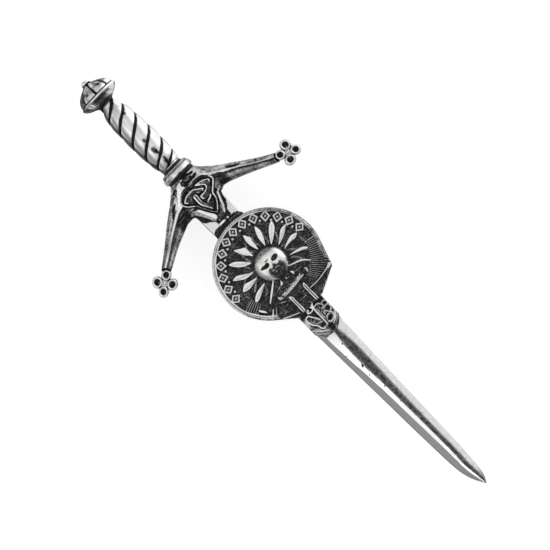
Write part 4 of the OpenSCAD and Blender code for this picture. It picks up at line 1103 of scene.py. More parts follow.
def sun_relief(face):
    """The sun's flames and the dome of its face."""
    x, y = face.x - SUN[0], face.y - SUN[1]
    r = np.hypot(x, y)
    theta = np.degrees(np.arctan2(y, x))
    # Low dull flames between the bright ones
    for k in range(-6, 6):
        turn = 90 + (k + 0.5) * FLAME_STEP
        sway = turn + 5 * np.sin((r - 3.4) * 1.6 + k)
        off = np.radians((theta - sway + 180) % 360 - 180) * r
        share = (r - 3.3) / 3.0
        half = 0.36 * np.clip(np.sin(pi * np.clip(share, 0, 1)), 0, 1) ** 0.6
        fill = ramp(0.0, 0.14, half - np.abs(off)) * (np.abs(share - 0.5) < 0.5)
        face.lift(np.ones(x.shape, bool), fill, 0.2, 0.48)
    before = face.z.copy()
    for outline in FLAMES:
        face.plateau(outline, 0.6, 1.0, 0.14)
        foot, tip = min(outline, key=from_sun), max(outline, key=from_sun)
        face.ground = face.z.copy()
        spine = [[a * near + b * far for a, b in zip(foot, tip)]
                 for near, far in ((0.8, 0.2), (0.15, 0.85))]
        face.stroke(spine, 0.2, 0.06, 1.0, (0.4, 0.4))
        face.ground = np.full(x.shape, BADGE_T)
    face.polish_and_shade -= np.where(face.z > before + 0.3, 0.09, 0) * (0.2 + grain(face.x, face.y, 0.33, 93))
    dome = r < FACE_R
    shape = np.clip(1 - (r / FACE_R) ** 3.4, 0, 1)
    face.z[dome] = BADGE_T + 0.1 + 1.22 * shape[dome] ** 0.8
    # The dome's polish falls towards its top and towards its rim, which is painted shade
    shine = (0.98 - 0.45 * ramp(1.75, 2.35, y + 0.12 * np.abs(x)) - 0.25 * ramp(0.86, 0.97, r / FACE_R)
             + 0.06 * grain(x, y, 0.5, 94))
    face.polish_and_shade[dome] = shine[dome]
    face_marks(face)


def face_marks(face):
    """A plain heraldic face: brow, eyes, nose, mouth and beard."""
    # Hollows of the beard, the brow and both eyes. The beard's hollow reaches up beside the nose, and there
    # it is painted shade.
    each(face.hollow, [
        ([(-0.65, 3.2), (-0.65, 2.2), (-0.25, 1.4), (0.3, 0.85), (1.1, 0.8), (1.9, 1.15), (2.6, 2.1),
          (2.65, 2.9), (2.2, 3.5), (1.55, 3.35), (0.95, 3.95), (0.5, 3.4), (-0.1, 3.6)], 0.12, 0.22, 0.2,
         0.08),
        ([(0.15, 5.15), (0.9, 5.2), (0.85, 4.92), (0.3, 4.85)], 0.05, 0.5, 0.12),
        ([(-1.4, 4.52), (-0.9, 4.78), (-0.3, 4.7), (0.2, 4.78), (0.52, 4.45), (0.35, 4.1), (-0.1, 3.88),
          (-0.8, 4.1), (-1.25, 4.3)], 0.28, 0.08, 0.2, 0.06),
        ([(1.18, 4.42), (1.55, 4.86), (2.3, 4.97), (2.75, 4.62), (2.6, 4.25), (2.1, 4.05), (1.5, 4.1)],
         0.28, 0.08, 0.2, 0.06)])
    face.ground = face.z.copy()
    face.mound((-0.75, 4.42), 0.3, 0.16, 0.1, 0.28)
    face.mound((1.8, 4.52), 0.26, 0.2, 0.1, 0.36)
    each(face.stroke, [
        ([(0.62, 4.35), (0.46, 3.9), (0.27, 3.42)], 0.24, 0.12, 0.92, (0.7, 1.1)),
        ([(1.05, 4.2), (1.35, 3.8), (1.65, 3.48)], 0.28, 0.12, 0.9, (0.7, 1.1)),
        ([(0.1, 2.9), (0.5, 2.88)], 0.22, 0.1, 0.72),
        ([(0.8, 2.92), (1.1, 3.02), (1.55, 2.82)], 0.2, 0.1, 0.66)])
    each(face.mound, [
        ((0.6, 2.42), 0.18, 0.17, 0.1, 0.75),
        ((1.78, 2.2), 0.22, 0.2, 0.1, 0.64),
        ((1.15, 2.42), 0.28, 0.12, 0.1, 0.42),
        ((0.62, 1.7), 0.25, 0.15, 0.08, 0.4)])
    each(face.pit, [
        ((0.55, 2.66), 0.2, 0.14, 0.12, 0.02),
        ((1.08, 2.66), 0.24, 0.15, 0.12, 0.02),
        ((0.85, 2.05), 0.3, 0.14, 0.1, 0.04)])
    # The beard's edge and its locks
    face.stroke([(-0.4, 3.35), (-0.6, 2.7), (-0.3, 2.0), (0.4, 1.5)], 0.2, 0.07, 0.42, (0.6, 0.6))
    face.stroke([(2.1, 3.4), (2.5, 2.8), (2.35, 2.1), (1.75, 1.6)], 0.2, 0.07, 0.42, (0.6, 0.6))
    for k in range(-3, 4):
        face.stroke([(1.0 + 0.36 * k, 2.0 - 0.04 * k * k), (1.0 + 0.46 * k, 1.55 + 0.05 * k * k)], 0.14,
                    0.06, 0.36)


def strap_relief(face):
    """The strap round the sun, with its row of lozenges and its folds."""
    x, y = face.x - BADGE_AT[0], face.y - BADGE_AT[1]
    r = np.hypot(x, y)
    sun_r = np.hypot(face.x - SUN[0], face.y - SUN[1])
    sun_theta = np.degrees(np.arctan2(face.y - SUN[1], face.x - SUN[0]))
    # The ring inside the strap is worn away in places
    arc = (sun_theta > -14) | (sun_theta < -152)
    ring = (ramp(0.12, 0.04, np.abs(sun_r - LINING_R)) * arc
            * ramp(-0.3, 0.2, grain(face.x, face.y, 1.3, 95)))
    face.lift(ring > 0, ring[ring > 0], 0.24, 0.55)
    # Lozenges with a sunk middle and a pellet in it, and a pellet under each gap
    step = ROW_ARC / (LOZENGES - 1)
    for k in range(LOZENGES):
        a = radians(6 + k * step)
        away = (x * cos(a) + y * sin(a)) - LOZENGE_AT
        across = y * cos(a) - x * sin(a)
        d = np.abs(away) / 1.16 + np.abs(across) / 1.0
        outer = ramp(1.04, 0.92, d)
        frame_fill = outer * ramp(0.46, 0.58, d)
        where = (outer > 0) & (r > 6)
        face.lift(where, outer[where], 0.22, 0.34)
        face.lift(where, frame_fill[where], 0.5, 0.84)
        face.mound((BADGE_AT[0] + LOZENGE_AT * cos(a), BADGE_AT[1] + LOZENGE_AT * sin(a)), 0.3, 0.3, 0.46,
                   0.85)
        if k < LOZENGES - 1:
            b = radians(6 + (k + 0.5) * step)
            face.mound((BADGE_AT[0] + PELLET_AT * cos(b), BADGE_AT[1] + PELLET_AT * sin(b)), 0.34, 0.34,
                       0.42, 0.9)
    # Fine radial cuts where the strap turns down at both sides
    fold = np.interp(face.x, [3.0, 4.6, 6.2, 7.4, 8.2], [-3.85, -3.9, -3.68, -3.42, -3.1])
    for first, step, count, inner in ((-12, -2.6, 20, 7.1), (197.5, 2.7, 6, 7.2)):
        for k in range(count):
            a = first + k * step
            off = np.radians((sun_theta - a + 180) % 360 - 180) * sun_r
            start = inner - 0.035 * k * (first < 0)
            fill = ramp(0.13, 0.04, np.abs(off)) * ramp(start, start + 0.25, sun_r)
            if first < 0:
                fill = fill * ramp(0.1, 0.4, face.y - fold) * ramp(3.0, 3.6, face.x)
            where = fill > 0
            face.lift(where, fill[where], 0.32, 0.78)
    each(face.stroke, [
        ([(7.75, 4.1), (7.72, 3.5), (7.75, 3.0)], 0.16, 0.3, 0.7),
        ([(7.6, 2.5), (8.7, 2.45), (9.9, 2.15)], 0.18, 0.3, 0.7),
        ([(-6.6, 3.0), (-6.3, 2.4)], 0.14, 0.3, 0.6)])


def buckle_relief(face):
    """The buckle, the strap's lower fold, the wreath and the lower rays."""
    # Edge of the strap, a second edge beside it, and the buckle's frame at the left
    each(face.stroke, [
        ([(-4.7, -2.05), (-5.3, -2.6), (-6.15, -3.4)], 0.36, 0.5, 0.84, (0.8, 1.2)),
        ([(-4.0, -2.1), (-4.6, -2.75), (-5.2, -3.5)], 0.24, 0.45, 0.68),
        ([(-5.2, -3.5), (-4.85, -4.15), (-3.9, -4.75), (-2.9, -5.2), (-1.75, -5.72)], 0.24, 0.45, 0.85),
        ([(-3.15, -2.0), (-2.5, -2.35), (-1.9, -2.65)], 0.28, 0.35, 0.68, (0.5, 0.4))])
    face.ring((-2.8, -3.6), 0.78, 0.14, 0.12, 0.32)
    for px, py in ((-3.5, -4.05), (-2.4, -4.0), (-3.05, -2.95), (-2.25, -3.2), (-2.1, -3.75),
                   (-3.0, -4.35)):
        face.mound((px, py), 0.18, 0.12, 0.18, 0.5, 0.8)
    face.pit((-2.8, -3.6), 0.34, 0.34, 0.18)
    # Two bars with a groove down the middle, and the strap's hole and stitches between them
    for centre, slant in ((-0.93, 1), (2.3, -1)):
        face.plateau([(centre - 0.32 * slant, -2.35), (centre + 0.3 * slant, -2.8),
                      (centre + 0.31 * slant, -4.0), (centre + 0.31 * slant, -6.15),
                      (centre - 0.31 * slant, -6.15), (centre - 0.31 * slant, -4.0)], 0.66, 0.95, 0.08)
        face.cut([(centre, -2.9), (centre, -6.1)], 0.2, 0.22, 0.4)
    face.pit((0.6, -3.65), 0.5, 0.5, 0.3)
    face.ring((0.6, -3.65), 0.62, 0.12, 0.08, 0.3)
    for y, left, right, shine in ((-4.3, 0.1, 1.4, 0.6), (-4.75, 0.0, 1.45, 0.46), (-3.4, 1.2, 1.75, 0.55),
                                  (-3.9, 1.2, 1.75, 0.5), (-2.75, 0.1, 1.2, 0.3), (-5.3, 0.1, 1.4, 0.3),
                                  (-3.4, -0.3, 0.0, 0.3)):
        face.stroke([(left, y), (right, y)], 0.16, 0.16, shine)
    # The fold of the strap at the right
    face.stroke([(2.8, -3.88), (4.5, -3.92), (6.0, -3.7), (7.3, -3.45)], 0.24, 0.5, 0.9)
    face.plateau([(7.0, -3.4), (7.6, -3.15), (8.15, -2.85), (8.45, -3.2), (8.2, -3.5), (7.5, -3.7)], 0.45,
                 0.85)
    face.stroke([(3.0, -6.35), (3.5, -5.95)], 0.3, 0.3, 0.75, (0.6, 0.4))
    for px, py in ((4.3, -5.5), (4.7, -5.3), (5.4, -5.0), (6.6, -4.4)):
        face.stroke([(px - 0.15, py - 0.2), (px + 0.15, py + 0.2)], 0.18, 0.2, 0.5)
    # The twisted wreath, worn to one wavy band, with a hole at its left end
    face.plateau([(-2.75, -1.2), (-2.5, -1.0), (-2.2, -1.3), (-1.7, -1.25), (-1.2, -1.15), (-0.6, -1.3),
                  (0.0, -1.15), (0.6, -1.2), (1.2, -1.0), (1.9, -1.05), (2.3, -0.75), (2.7, -0.85),
                  (3.0, -1.1), (3.6, -1.2), (3.55, -1.5), (2.6, -1.6), (1.6, -1.75), (0.0, -1.9),
                  (-1.6, -1.95), (-2.6, -1.9)], 0.5, 0.8, 0.12)
    face.ground = face.z.copy()
    for k in range(10):
        px = -2.35 + 0.58 * k
        py = -1.5 + 0.05 * k
        face.stroke([(px - 0.2, py - 0.2), (px + 0.22, py + 0.22)], 0.3, 0.12,
                    0.7 + 0.28 * ((k * 7) % 4) / 3, (0.6, 0.6))
    face.pit((-1.8, -1.62), 0.22, 0.16, 0.3, 0.06)
    face.ground = np.full(face.x.shape, BADGE_T)
    face.stroke([(4.5, -0.6), (4.68, -1.0), (4.42, -1.45)], 0.3, 0.5, 0.95, (0.7, 0.6))
    # The long lower rays at both sides, and what shows of the short ones between them
    each(face.stroke, [
        ([(-1.2, 1.55), (-2.5, 0.5), (-3.3, -0.1), (-4.3, -0.9)], 0.46, 0.5, 0.96, (0.7, 0.6)),
        ([(2.8, 1.6), (3.6, 1.3), (4.6, 0.95), (5.4, 0.5), (6.2, -0.35)], 0.4, 0.52, 0.93, (0.7, 0.7)),
        ([(-2.0, -0.3), (-1.3, -0.1), (-0.7, 0.15)], 0.22, 0.4, 0.72, (0.6, 1.0))])
    face.plateau([(-0.1, 0.85), (-0.1, 0.1), (-0.55, -0.1), (-0.75, 0.15), (-0.45, 0.45)], 0.5, 0.95)
    face.mound((0.9, 0.35), 0.3, 0.24, 0.45, 0.84, -0.6)
    face.mound((1.36, 0.18), 0.2, 0.18, 0.4, 0.62)
    face.plateau([(2.15, 0.85), (2.7, 0.45), (2.55, -0.15), (2.3, -0.05), (2.2, 0.4)], 0.5, 0.92)
    face.stroke([(2.5, 0.2), (3.2, 0.05), (4.1, -0.05)], 0.18, 0.4, 0.66)
    # Lumps at the left edge
    face.stroke([(-6.6, -0.5), (-6.25, -1.05), (-5.9, -1.6)], 0.48, 0.6, 1.0, (0.8, 0.6))
    face.mound((-7.7, -1.25), 0.34, 0.24, 0.5, 1.0, 0.3)
    face.stroke([(-7.6, -1.8), (-7.05, -1.75)], 0.26, 0.4, 0.66)
    face.stroke([(-8.9, 0.3), (-8.1, -1.2), (-7.2, -2.2), (-6.3, -3.0), (-5.7, -3.7)], 0.38, 0.54, 1.0,
                (0.7, 0.8))


def build_badge():
    count = 300
    x, y, outline = badge_grid(count)
    face = Relief(x + BADGE_AT[0], y + BADGE_AT[1], BADGE_T, 0.21)
    face.polish_and_shade += 0.12 * grain(face.x, face.y, 0.3, 90) + 0.12 * grit(face.x, face.y, 92)
    edge, _ = to_path(x, y, np.vstack([outline[::2], outline[:1]]))
    strap_relief(face)
    sun_relief(face)
    face.ground = np.where(np.hypot(face.x - SUN[0], face.y - SUN[1]) < FACE_R, face.ground, BADGE_T)
    buckle_relief(face)
    # The rim is raised along the round part of the outline and fades out below
    theta = np.degrees(np.arctan2(y, x))
    present = np.where((theta > -134) & (theta < -38), ramp(-118, -130, theta), 1)
    wide = 0.3 * ramp(-165, -140, theta) * (theta < -100)
    right = ramp(75, 40, np.abs(theta))
    step = edge + 0.03 * grain(x, y, 0.8, 96)
    outer = np.interp(step, [0, 0.12, 0.36, 0.44, 0.54], [0.2, 0.5, 0.8, 0.82, 1.0])
    rim = np.where(step < 0.5, outer, ramp(0.84, 0.68, step - wide)) * present
    face.ground = np.full(x.shape, BADGE_T)
    face.z = np.maximum(face.z, BADGE_T + 0.55 * rim)
    bands = np.interp(step - wide * 0.5, [0, 0.06, 0.12, 0.34, 0.4, 0.45, 0.52, 0.68, 0.76],
                      [0.5, 0.6, 1.0, 0.98, 0.55, 0.55, 1.0, 1.0, 0.0])
    # Lower polish on the right part of the rim is painted shade
    bands = bands * (1 - 0.42 * right) + 0.1 * grain(x * 0.7, y * 0.7, 0.5, 97) * (bands > 0.2)
    face.polish_and_shade = np.where(rim > 0.05, np.maximum(face.polish_and_shade * (step > 0.7), bands * present), face.polish_and_shade)
    plain_edge = ramp(0.22, 0.0, edge) * (1 - present)
    face.polish_and_shade = np.maximum(face.polish_and_shade, 0.42 * plain_edge)
    face.z -= 0.22 * ramp(0.16, 0.0, edge) ** 2
    face.roughen(0.075, 91)
    # Rows of the edge loop go down the side, and a fan closes the back
    grid = np.arange(count * count).reshape(count, count)
    quads = np.stack([grid[:-1, :-1], grid[:-1, 1:], grid[1:, 1:], grid[1:, :-1]], -1).reshape(-1, 4)
    loop = np.concatenate([grid[0, :-1], grid[:-1, -1], grid[-1, :0:-1], grid[:0:-1, 0]])
    points = [np.stack([x.ravel(), y.ravel(), face.z.ravel()], -1)]
    polish_and_shade = [face.polish_and_shade.ravel()]
    rows = [loop]
    for share, inset in ((0.2, -0.004), (0.6, -0.004), (0.9, 0.0), (1.0, 0.012)):
        rows.append(np.arange(len(loop)) + sum(len(block) for block in points))
        points.append(points[0][loop] * np.array([1 - inset, 1 - inset, 1 - share]))
        # The side's low polish darkens the outline as old finish and as painted shade
        polish_and_shade.append(np.full(len(loop), 0.4))
    side = [np.stack([b, np.roll(b, -1), np.roll(a, -1), a], -1) for a, b in zip(rows[:-1], rows[1:])]
    make_piece("badge_casting", on_badge(np.concatenate(points)), np.concatenate([quads] + side),
               [rows[-1].tolist()], np.concatenate(polish_and_shade), ANTIQUE, "crest_badge")


# Strap end: places are from the middle of its top, and CHAPE is that middle from the badge's
CHAPE = np.array([-0.17, -10.5])
# Half its width at each place, from its foot up
CHAPE_FOOT = [(-6.3, 0.25), (-6.22, 0.9), (-6.0, 1.35), (-5.6, 1.9), (-5.2, 2.3), (-4.75, 2.72),
              (-4.45, 2.88), (0.6, 2.88)]


def chape_half(y):
    return np.interp(y, *zip(*CHAPE_FOOT))


def chape_relief(x, y):
    """The strap end's relief: ridges round the foot, a stem with a hook, a leaf and scrolls."""
    plate, full = BADGE_T - 0.62, 0.6
    edge = (chape_half(y) - np.abs(x)) * 0.8
    face = Relief(x + BADGE_AT[0] + CHAPE[0], y + BADGE_AT[1] + CHAPE[1], plate, 0.46)
    px, py = face.x, face.y
    face.polish_and_shade += 0.14 * grain(px, py * 0.4, 0.3, 103) + 0.1 * grit(px, py, 104)
    # The upper part and the outer edge stay dark
    face.polish_and_shade -= (0.3 * ramp(-7.15, -6.7, py) * ramp(-2.2, -1.6, px)
                    + 0.25 * ramp(0.28, 0.05, edge) * ramp(-10.3, -11.0, py))
    face.polish_and_shade += 0.14 * ramp(-9.6, -10.4, py) * ramp(-0.2, -0.8, px)
    face.polish_and_shade += 0.2 * ramp(-1.85, -2.1, px) * ramp(-7.2, -8.0, py) * ramp(-9.4, -8.8, py)
    for outline in (
            [(-0.85, -7.2), (0.38, -7.2), (0.36, -8.9), (0.15, -8.85), (-0.3, -8.1)],
            [(-2.0, -6.2), (-1.1, -6.4), (-1.0, -7.0), (-1.6, -7.15), (-2.45, -7.2)],
            [(0.2, -10.95), (1.0, -10.9), (1.2, -11.4), (0.95, -12.2), (0.35, -12.25), (0.25, -11.6)],
            [(1.05, -6.15), (2.9, -6.1), (3.1, -6.7), (2.2, -6.75), (1.9, -6.5), (1.1, -6.55)]):
        face.hollow(outline, 0.12, 0.1, 0.14, 0.05)
    for outline in (
            [(-0.8, -9.95), (-0.3, -9.85), (0.3, -9.95), (0.35, -10.45), (-0.3, -10.5), (-0.75, -10.3)],
            [(1.15, -9.9), (1.7, -9.7), (2.15, -9.85), (2.15, -10.25), (1.6, -10.5), (1.1, -10.35)],
            [(2.1, -8.35), (2.6, -8.15), (2.95, -8.45), (2.75, -8.85), (2.35, -8.95), (2.05, -8.65)],
            [(2.35, -7.5), (2.65, -7.3), (3.0, -7.45), (3.0, -7.8), (2.6, -7.85), (2.35, -7.7)],
            [(-1.75, -7.65), (-1.5, -7.5), (-1.1, -7.55), (-1.0, -7.85), (-1.4, -7.82)],
            [(-1.2, -8.3), (-0.9, -8.1), (-0.75, -8.3), (-1.0, -8.55), (-1.3, -8.6)],
            [(-2.0, -9.45), (-1.7, -9.42), (-1.35, -9.75), (-1.4, -9.9), (-1.75, -9.7)],
            [(1.0, -8.6), (1.2, -8.55), (1.25, -9.3), (1.6, -9.4), (2.0, -9.35), (1.85, -9.15),
             (1.6, -8.95), (1.2, -9.3), (1.05, -9.3)]):
        face.hollow(outline, 0.2, 0.06, 0.12, 0.05)
    for place, rx, ry in (((-0.68, -8.98), 0.24, 0.17), ((1.13, -7.2), 0.2, 0.17),
                          ((1.83, -7.48), 0.24, 0.22), ((1.15, -8.08), 0.28, 0.16),
                          ((2.7, -9.6), 0.22, 0.17), ((-0.08, -6.65), 0.24, 0.26), ((1.5, -6.4), 0.3, 0.16),
                          ((0.2, -8.55), 0.2, 0.3)):
        face.pit(place, rx, ry, 0.2, 0.03)
    face.ground = np.full(x.shape, plate)
    # Nested ridges round the foot
    each(face.stroke, [
        ([(-2.35, -9.75), (-1.8, -10.3), (-1.15, -10.95), (-0.5, -11.35), (-0.15, -11.75)], 0.36, 0.3, 0.8,
         (0.8, 0.7)),
        ([(-1.95, -9.6), (-1.55, -10.15), (-1.1, -10.6)], 0.24, 0.25, 0.72, (0.6, 0.6)),
        ([(-2.5, -10.65), (-1.9, -11.0), (-1.2, -11.6), (-0.5, -12.0)], 0.28, 0.25, 0.7, (0.6, 0.6)),
        ([(3.05, -9.85), (2.6, -10.5), (1.95, -10.98), (1.3, -11.25)], 0.34, 0.35, 0.84, (0.9, 0.6)),
        ([(3.05, -10.5), (2.3, -11.15), (1.5, -11.6)], 0.24, 0.3, 0.62, (0.8, 0.6))])
    # The hook at the top and the stem
    face.mound((-0.55, -6.55), 0.42, 0.42, full + 0.05, 1.0)
    face.mound((-0.8, -6.85), 0.3, 0.3, full, 1.0)
    each(face.stroke, [
        ([(-0.85, -6.85), (-0.5, -7.08), (0.0, -7.1), (0.38, -6.93)], 0.27, full, 0.96),
        ([(0.3, -6.4), (0.42, -6.7), (0.5, -6.95)], 0.34, full, 0.97, (1.0, 0.7)),
        ([(0.62, -6.85), (0.72, -6.4), (0.98, -6.02)], 0.44, full, 1.0, (0.7, 0.9)),
        ([(0.55, -6.95), (0.5, -7.6), (0.47, -8.6), (0.5, -9.5), (0.45, -10.2), (0.42, -10.6)], 0.28, full,
         0.95),
        ([(0.74, -7.0), (0.74, -8.4), (0.74, -9.4)], 0.3, full * 0.8, 0.56, (0.6, 0.6)),
        ([(0.94, -7.3), (0.94, -8.4), (0.92, -9.3), (0.9, -10.1), (0.98, -10.5)], 0.22, full, 0.66)])
    # Leaf at the left
    face.stroke([(0.0, -9.15), (-0.35, -8.45), (-0.75, -7.85), (-1.05, -7.38), (-1.35, -7.25),
                 (-1.7, -7.35), (-1.88, -7.68), (-1.85, -8.2), (-1.65, -8.9), (-1.3, -9.35), (-1.0, -9.8),
                 (-0.9, -10.3), (-0.72, -10.68), (-0.42, -10.8)], 0.27, full, 1.0)
    face.stroke([(-0.42, -10.78), (-0.05, -10.76), (0.3, -10.7)], 0.2, full, 0.7)
    face.mound((-1.38, -8.05), 0.28, 0.18, 0.4, 0.64)
    face.stroke([(-0.62, -8.5), (-0.45, -8.75)], 0.2, 0.4, 0.66)
    face.stroke([(-1.0, -9.3), (-0.5, -9.5), (0.2, -9.72)], 0.25, 0.45, 0.76, (0.7, 0.8))
    # Scrolls at the right
    face.stroke([(0.88, -6.85), (1.4, -6.74), (1.8, -6.9), (2.0, -7.25)], 0.24, full, 0.84)
    face.mound((1.43, -7.6), 0.22, 0.3, 0.5, 0.85)
    each(face.stroke, [
        ([(2.2, -7.75), (2.2, -7.35), (2.65, -7.12), (3.05, -7.32), (3.2, -7.65), (2.95, -7.98),
          (2.4, -8.0), (1.6, -7.95)], 0.22, full, 0.78),
        ([(3.15, -7.2), (3.5, -7.5), (3.62, -7.75)], 0.2, full, 0.8),
        ([(1.0, -8.4), (1.5, -8.2), (1.9, -8.15)], 0.18, 0.4, 0.56),
        ([(2.95, -8.15), (3.05, -8.5), (2.9, -8.9), (2.6, -9.15)], 0.2, full, 0.72),
        ([(1.38, -9.1), (1.35, -8.75), (1.65, -8.63), (1.95, -8.88), (2.12, -9.25)], 0.24, full, 0.84),
        ([(1.15, -9.88), (1.25, -9.6), (1.6, -9.48), (2.0, -9.53)], 0.24, full, 0.86),
        ([(2.3, -9.35), (2.5, -9.75), (2.48, -10.15), (2.2, -10.5), (1.75, -10.72), (1.2, -10.75),
          (0.98, -10.5)], 0.32, full, 0.84),
        ([(2.3, -9.35), (2.7, -9.2), (3.0, -9.1)], 0.2, full, 0.8),
        ([(2.98, -9.2), (3.0, -9.7), (2.75, -10.0)], 0.2, 0.45, 0.6)])
    return face


def build_strap_end():
    y = np.concatenate([np.linspace(0.6, -4.4, 190, endpoint=False), np.linspace(-4.4, -6.3, 80)])[::-1]

    def place(rings):
        return on_badge(rings + np.array([CHAPE[0], CHAPE[1], 0]))

    strip_piece("strap_end_casting", y, -chape_half(y), chape_half(y), 200, chape_relief, place, 101, 0.05)


def build_tab():
    """The rough black tongue of the badge over the blade, above its rim."""
    y = np.linspace(BADGE_R - 0.75, BADGE_R + TAB_LEN - 0.12, 80)
    rise = (y - y[0]) / (y[-1] - y[0])
    left = -3.45 + 0.35 * rise + 0.5 * ramp(0.82, 1.0, rise) + 0.08 * grain(y, y * 0, 0.3, 7)
    right = 3.1 - 0.55 * ramp(0.3, 1.0, rise) - 0.5 * ramp(0.82, 1.0, rise) + 0.08 * grain(y, y * 0, 0.3, 8)

    def height(x, yy):
        up = (yy - BADGE_R) / TAB_LEN
        face = Relief(x + BADGE_AT[0], yy + BADGE_AT[1], 0.95 - 0.42 * np.clip(up, 0, 1), 0.1)
        side = np.minimum(x + 3.3, 3.1 - x)
        face.z -= 0.3 * ramp(0.5, 0.0, side)
        face.z -= 0.3 * ramp(0.78, 1.05, up + 0.1 * grain(x, x * 0, 0.5, 113))
        face.z += 0.06 * grain(x, yy, 0.6, 111)
        face.ground = face.z.copy()
        each(face.stroke, [
            ([(-2.2, 15.1), (-1.4, 15.22), (-0.7, 15.15)], 0.18, 0.08, 0.3),
            ([(-2.5, 14.55), (-1.9, 14.8), (-1.6, 14.75)], 0.2, 0.08, 0.34),
            ([(0.9, 14.85), (2.0, 14.8), (3.0, 14.5)], 0.2, 0.08, 0.4),
            ([(2.4, 15.1), (2.9, 14.85), (3.3, 14.55)], 0.2, 0.08, 0.36)])
        return face

    strip_piece("badge_tab_casting", y, left, right, 120, height, on_badge, 112, 0.09)


# Brooch pin: thickness of strip, wire and bar, width of the bar, length of a foot and of the whole pin
STRIP_T, WIRE_D, BAR_T, BAR_W, FOOT_LEN, PIN_LEN = 0.8, 1.2, 0.7, 3.0, 3.4, 49
BAR_Z = pin_high[2] - BAR_T
WIRE_Z = STRIP_T + 0.2 + WIRE_D / 2
HINGE_Y = GUARD_Y + HUB_H / 2
CATCH_Y = HINGE_Y - PIN_LEN + FOOT_LEN


def strip_outline(path, thick):
    """Outline in x and z of a strip of one thickness bent along a path with rounded corners."""
    corner = 0.45
    path = [np.array(p, float) for p in path]
    centre = [path[0]]
    for a, b, c in zip(path[:-2], path[1:-1], path[2:]):
        start = b + (a - b) / np.linalg.norm(a - b) * corner
        end = b + (c - b) / np.linalg.norm(c - b) * corner
        for t in np.linspace(0, 1, 6):
            centre.append((1 - t) ** 2 * start + 2 * t * (1 - t) * b + t ** 2 * end)
    centre = np.array(centre + [path[-1]])
    run = np.gradient(centre, axis=0)
    run /= np.linalg.norm(run, axis=1)[:, None]
    normal = np.stack([-run[:, 1], run[:, 0]], -1)
    return np.concatenate([centre + normal * thick / 2, (centre - normal * thick / 2)[::-1]])


def bent_strip(path, middle):
    """Rings of a foot's bent strip, with eased edges."""
    ease = 0.1
    y0, y1 = middle - FOOT_LEN / 2, middle + FOOT_LEN / 2
    rings = []
    for y, inset in ((y0, ease), (y0 + ease * 0.3, ease * 0.35), (y0 + ease, 0), (y1 - ease, 0),
                     (y1 - ease * 0.3, ease * 0.35), (y1, ease)):
        outline = strip_outline(path, STRIP_T - 0.12 - 2 * inset)
        rings.append(np.column_stack([outline[:, 0], np.full(len(outline), y), outline[:, 1]]))
    return np.array(rings)


def bar_rings():
    """The bar, with rounded ends and eased edges."""
    angle = np.linspace(0, 2 * pi, 64, endpoint=False)
    y_low, y_high = CATCH_Y - FOOT_LEN / 2, HINGE_Y + FOOT_LEN / 2
    top, corner = BAR_Z + BAR_T, 0.6
    rings = []
    for z, inset in ((BAR_Z, 0.12), (BAR_Z + 0.05, 0.03), (BAR_Z + 0.14, 0), (top - 0.14, 0),
                     (top - 0.05, 0.03), (top, 0.12)):
        half_x, half_y = BAR_W / 2 - inset, (y_high - y_low) / 2 - inset
        x = np.sign(np.cos(angle)) * (half_x - corner) + corner * np.cos(angle)
        y = np.sign(np.sin(angle)) * (half_y - corner) + corner * np.sin(angle)
        rings.append(np.stack([x, y + (y_low + y_high) / 2, np.full(64, z)], -1))
    return np.array(rings)


def turned(profile):
    """Rings round the hinge's axis, for each place along it and the radius there."""
    angle = np.linspace(0, 2 * pi, 40, endpoint=False)
    return np.array([np.stack([np.full(40, x), HINGE_Y + r * np.cos(angle), WIRE_Z + r * np.sin(angle)], -1)
                     for x, r in profile])


def wire_rings():
    """The wire, straight from the hinge to its sharpened end."""
    angle = np.linspace(0, 2 * pi, 32, endpoint=False)
    start, end = HINGE_Y + 0.2, CATCH_Y - FOOT_LEN
    run = np.concatenate([np.linspace(start, CATCH_Y - 2.0, 40), np.linspace(CATCH_Y - 2.0, end, 16)[1:]])
    radii = np.interp(run, [end, CATCH_Y - 2.6, CATCH_Y - 0.4, start], [0.1, 0.38, WIRE_D / 2, WIRE_D / 2])
    return np.array([np.stack([r * np.cos(angle), np.full(32, y), WIRE_Z + r * np.sin(angle)], -1)
                     for y, r in zip(run, radii)])


def build_brooch_pin():
    """Bar, hinge, wire and catch, soldered to the backs of the castings."""
    foot_half = (pin_high[0] - pin_low[0]) / 2
    centre_x = (pin_low[0] + pin_high[0]) / 2
    half, low, high = foot_half - STRIP_T / 2, STRIP_T / 2, BAR_Z + BAR_T / 2 - 0.02
    # The catch: down from the bar, under the wire and up on the other side, open above the lip
    catch = [(BAR_W / 2 - 0.2, high), (half, high), (half, low), (-half, low),
             (-half, WIRE_Z + WIRE_D * 0.8)]
    # The hinge: two ears down from the bar and a foot across, with a rivet through both
    hinge = [(-0.3, high), (-half, high), (-half, low), (half, low), (half, high), (0.3, high)]
    end = foot_half + 0.16
    rivet = [(-end, 0.05), (-end, 0.3), (-end + 0.08, 0.48), (-end + 0.2, 0.55), (-end + 0.21, 0.4),
             (end - 0.21, 0.4), (end - 0.2, 0.55), (end - 0.08, 0.48), (end, 0.3), (end, 0.05)]
    # The wire's eye, drawn as a plain barrel round the rivet
    barrel = [(-1.3, 0.5), (-1.28, 0.72), (-1.2, 0.8), (1.2, 0.8), (1.28, 0.72), (1.3, 0.5)]
    solids = Solids()
    for rings, shine in ((bar_rings(), 0.9), (bent_strip(catch, CATCH_Y), 0.9),
                         (bent_strip(hinge, HINGE_Y), 0.9), (turned(rivet), 0.8), (wire_rings(), 0.95),
                         (turned(barrel), 0.85)):
        x, y, z = np.moveaxis(rings, -1, 0)
        solids.add(rings + np.array([centre_x, 0, 0]), shine + 0.08 * grain(x * 2 + z, y, 0.9, 121))
    solids.make("brooch_pin_steel", PLATED, "brooch_pin", 35)


# Studio: a pale floor, soft lights and the photograph's camera

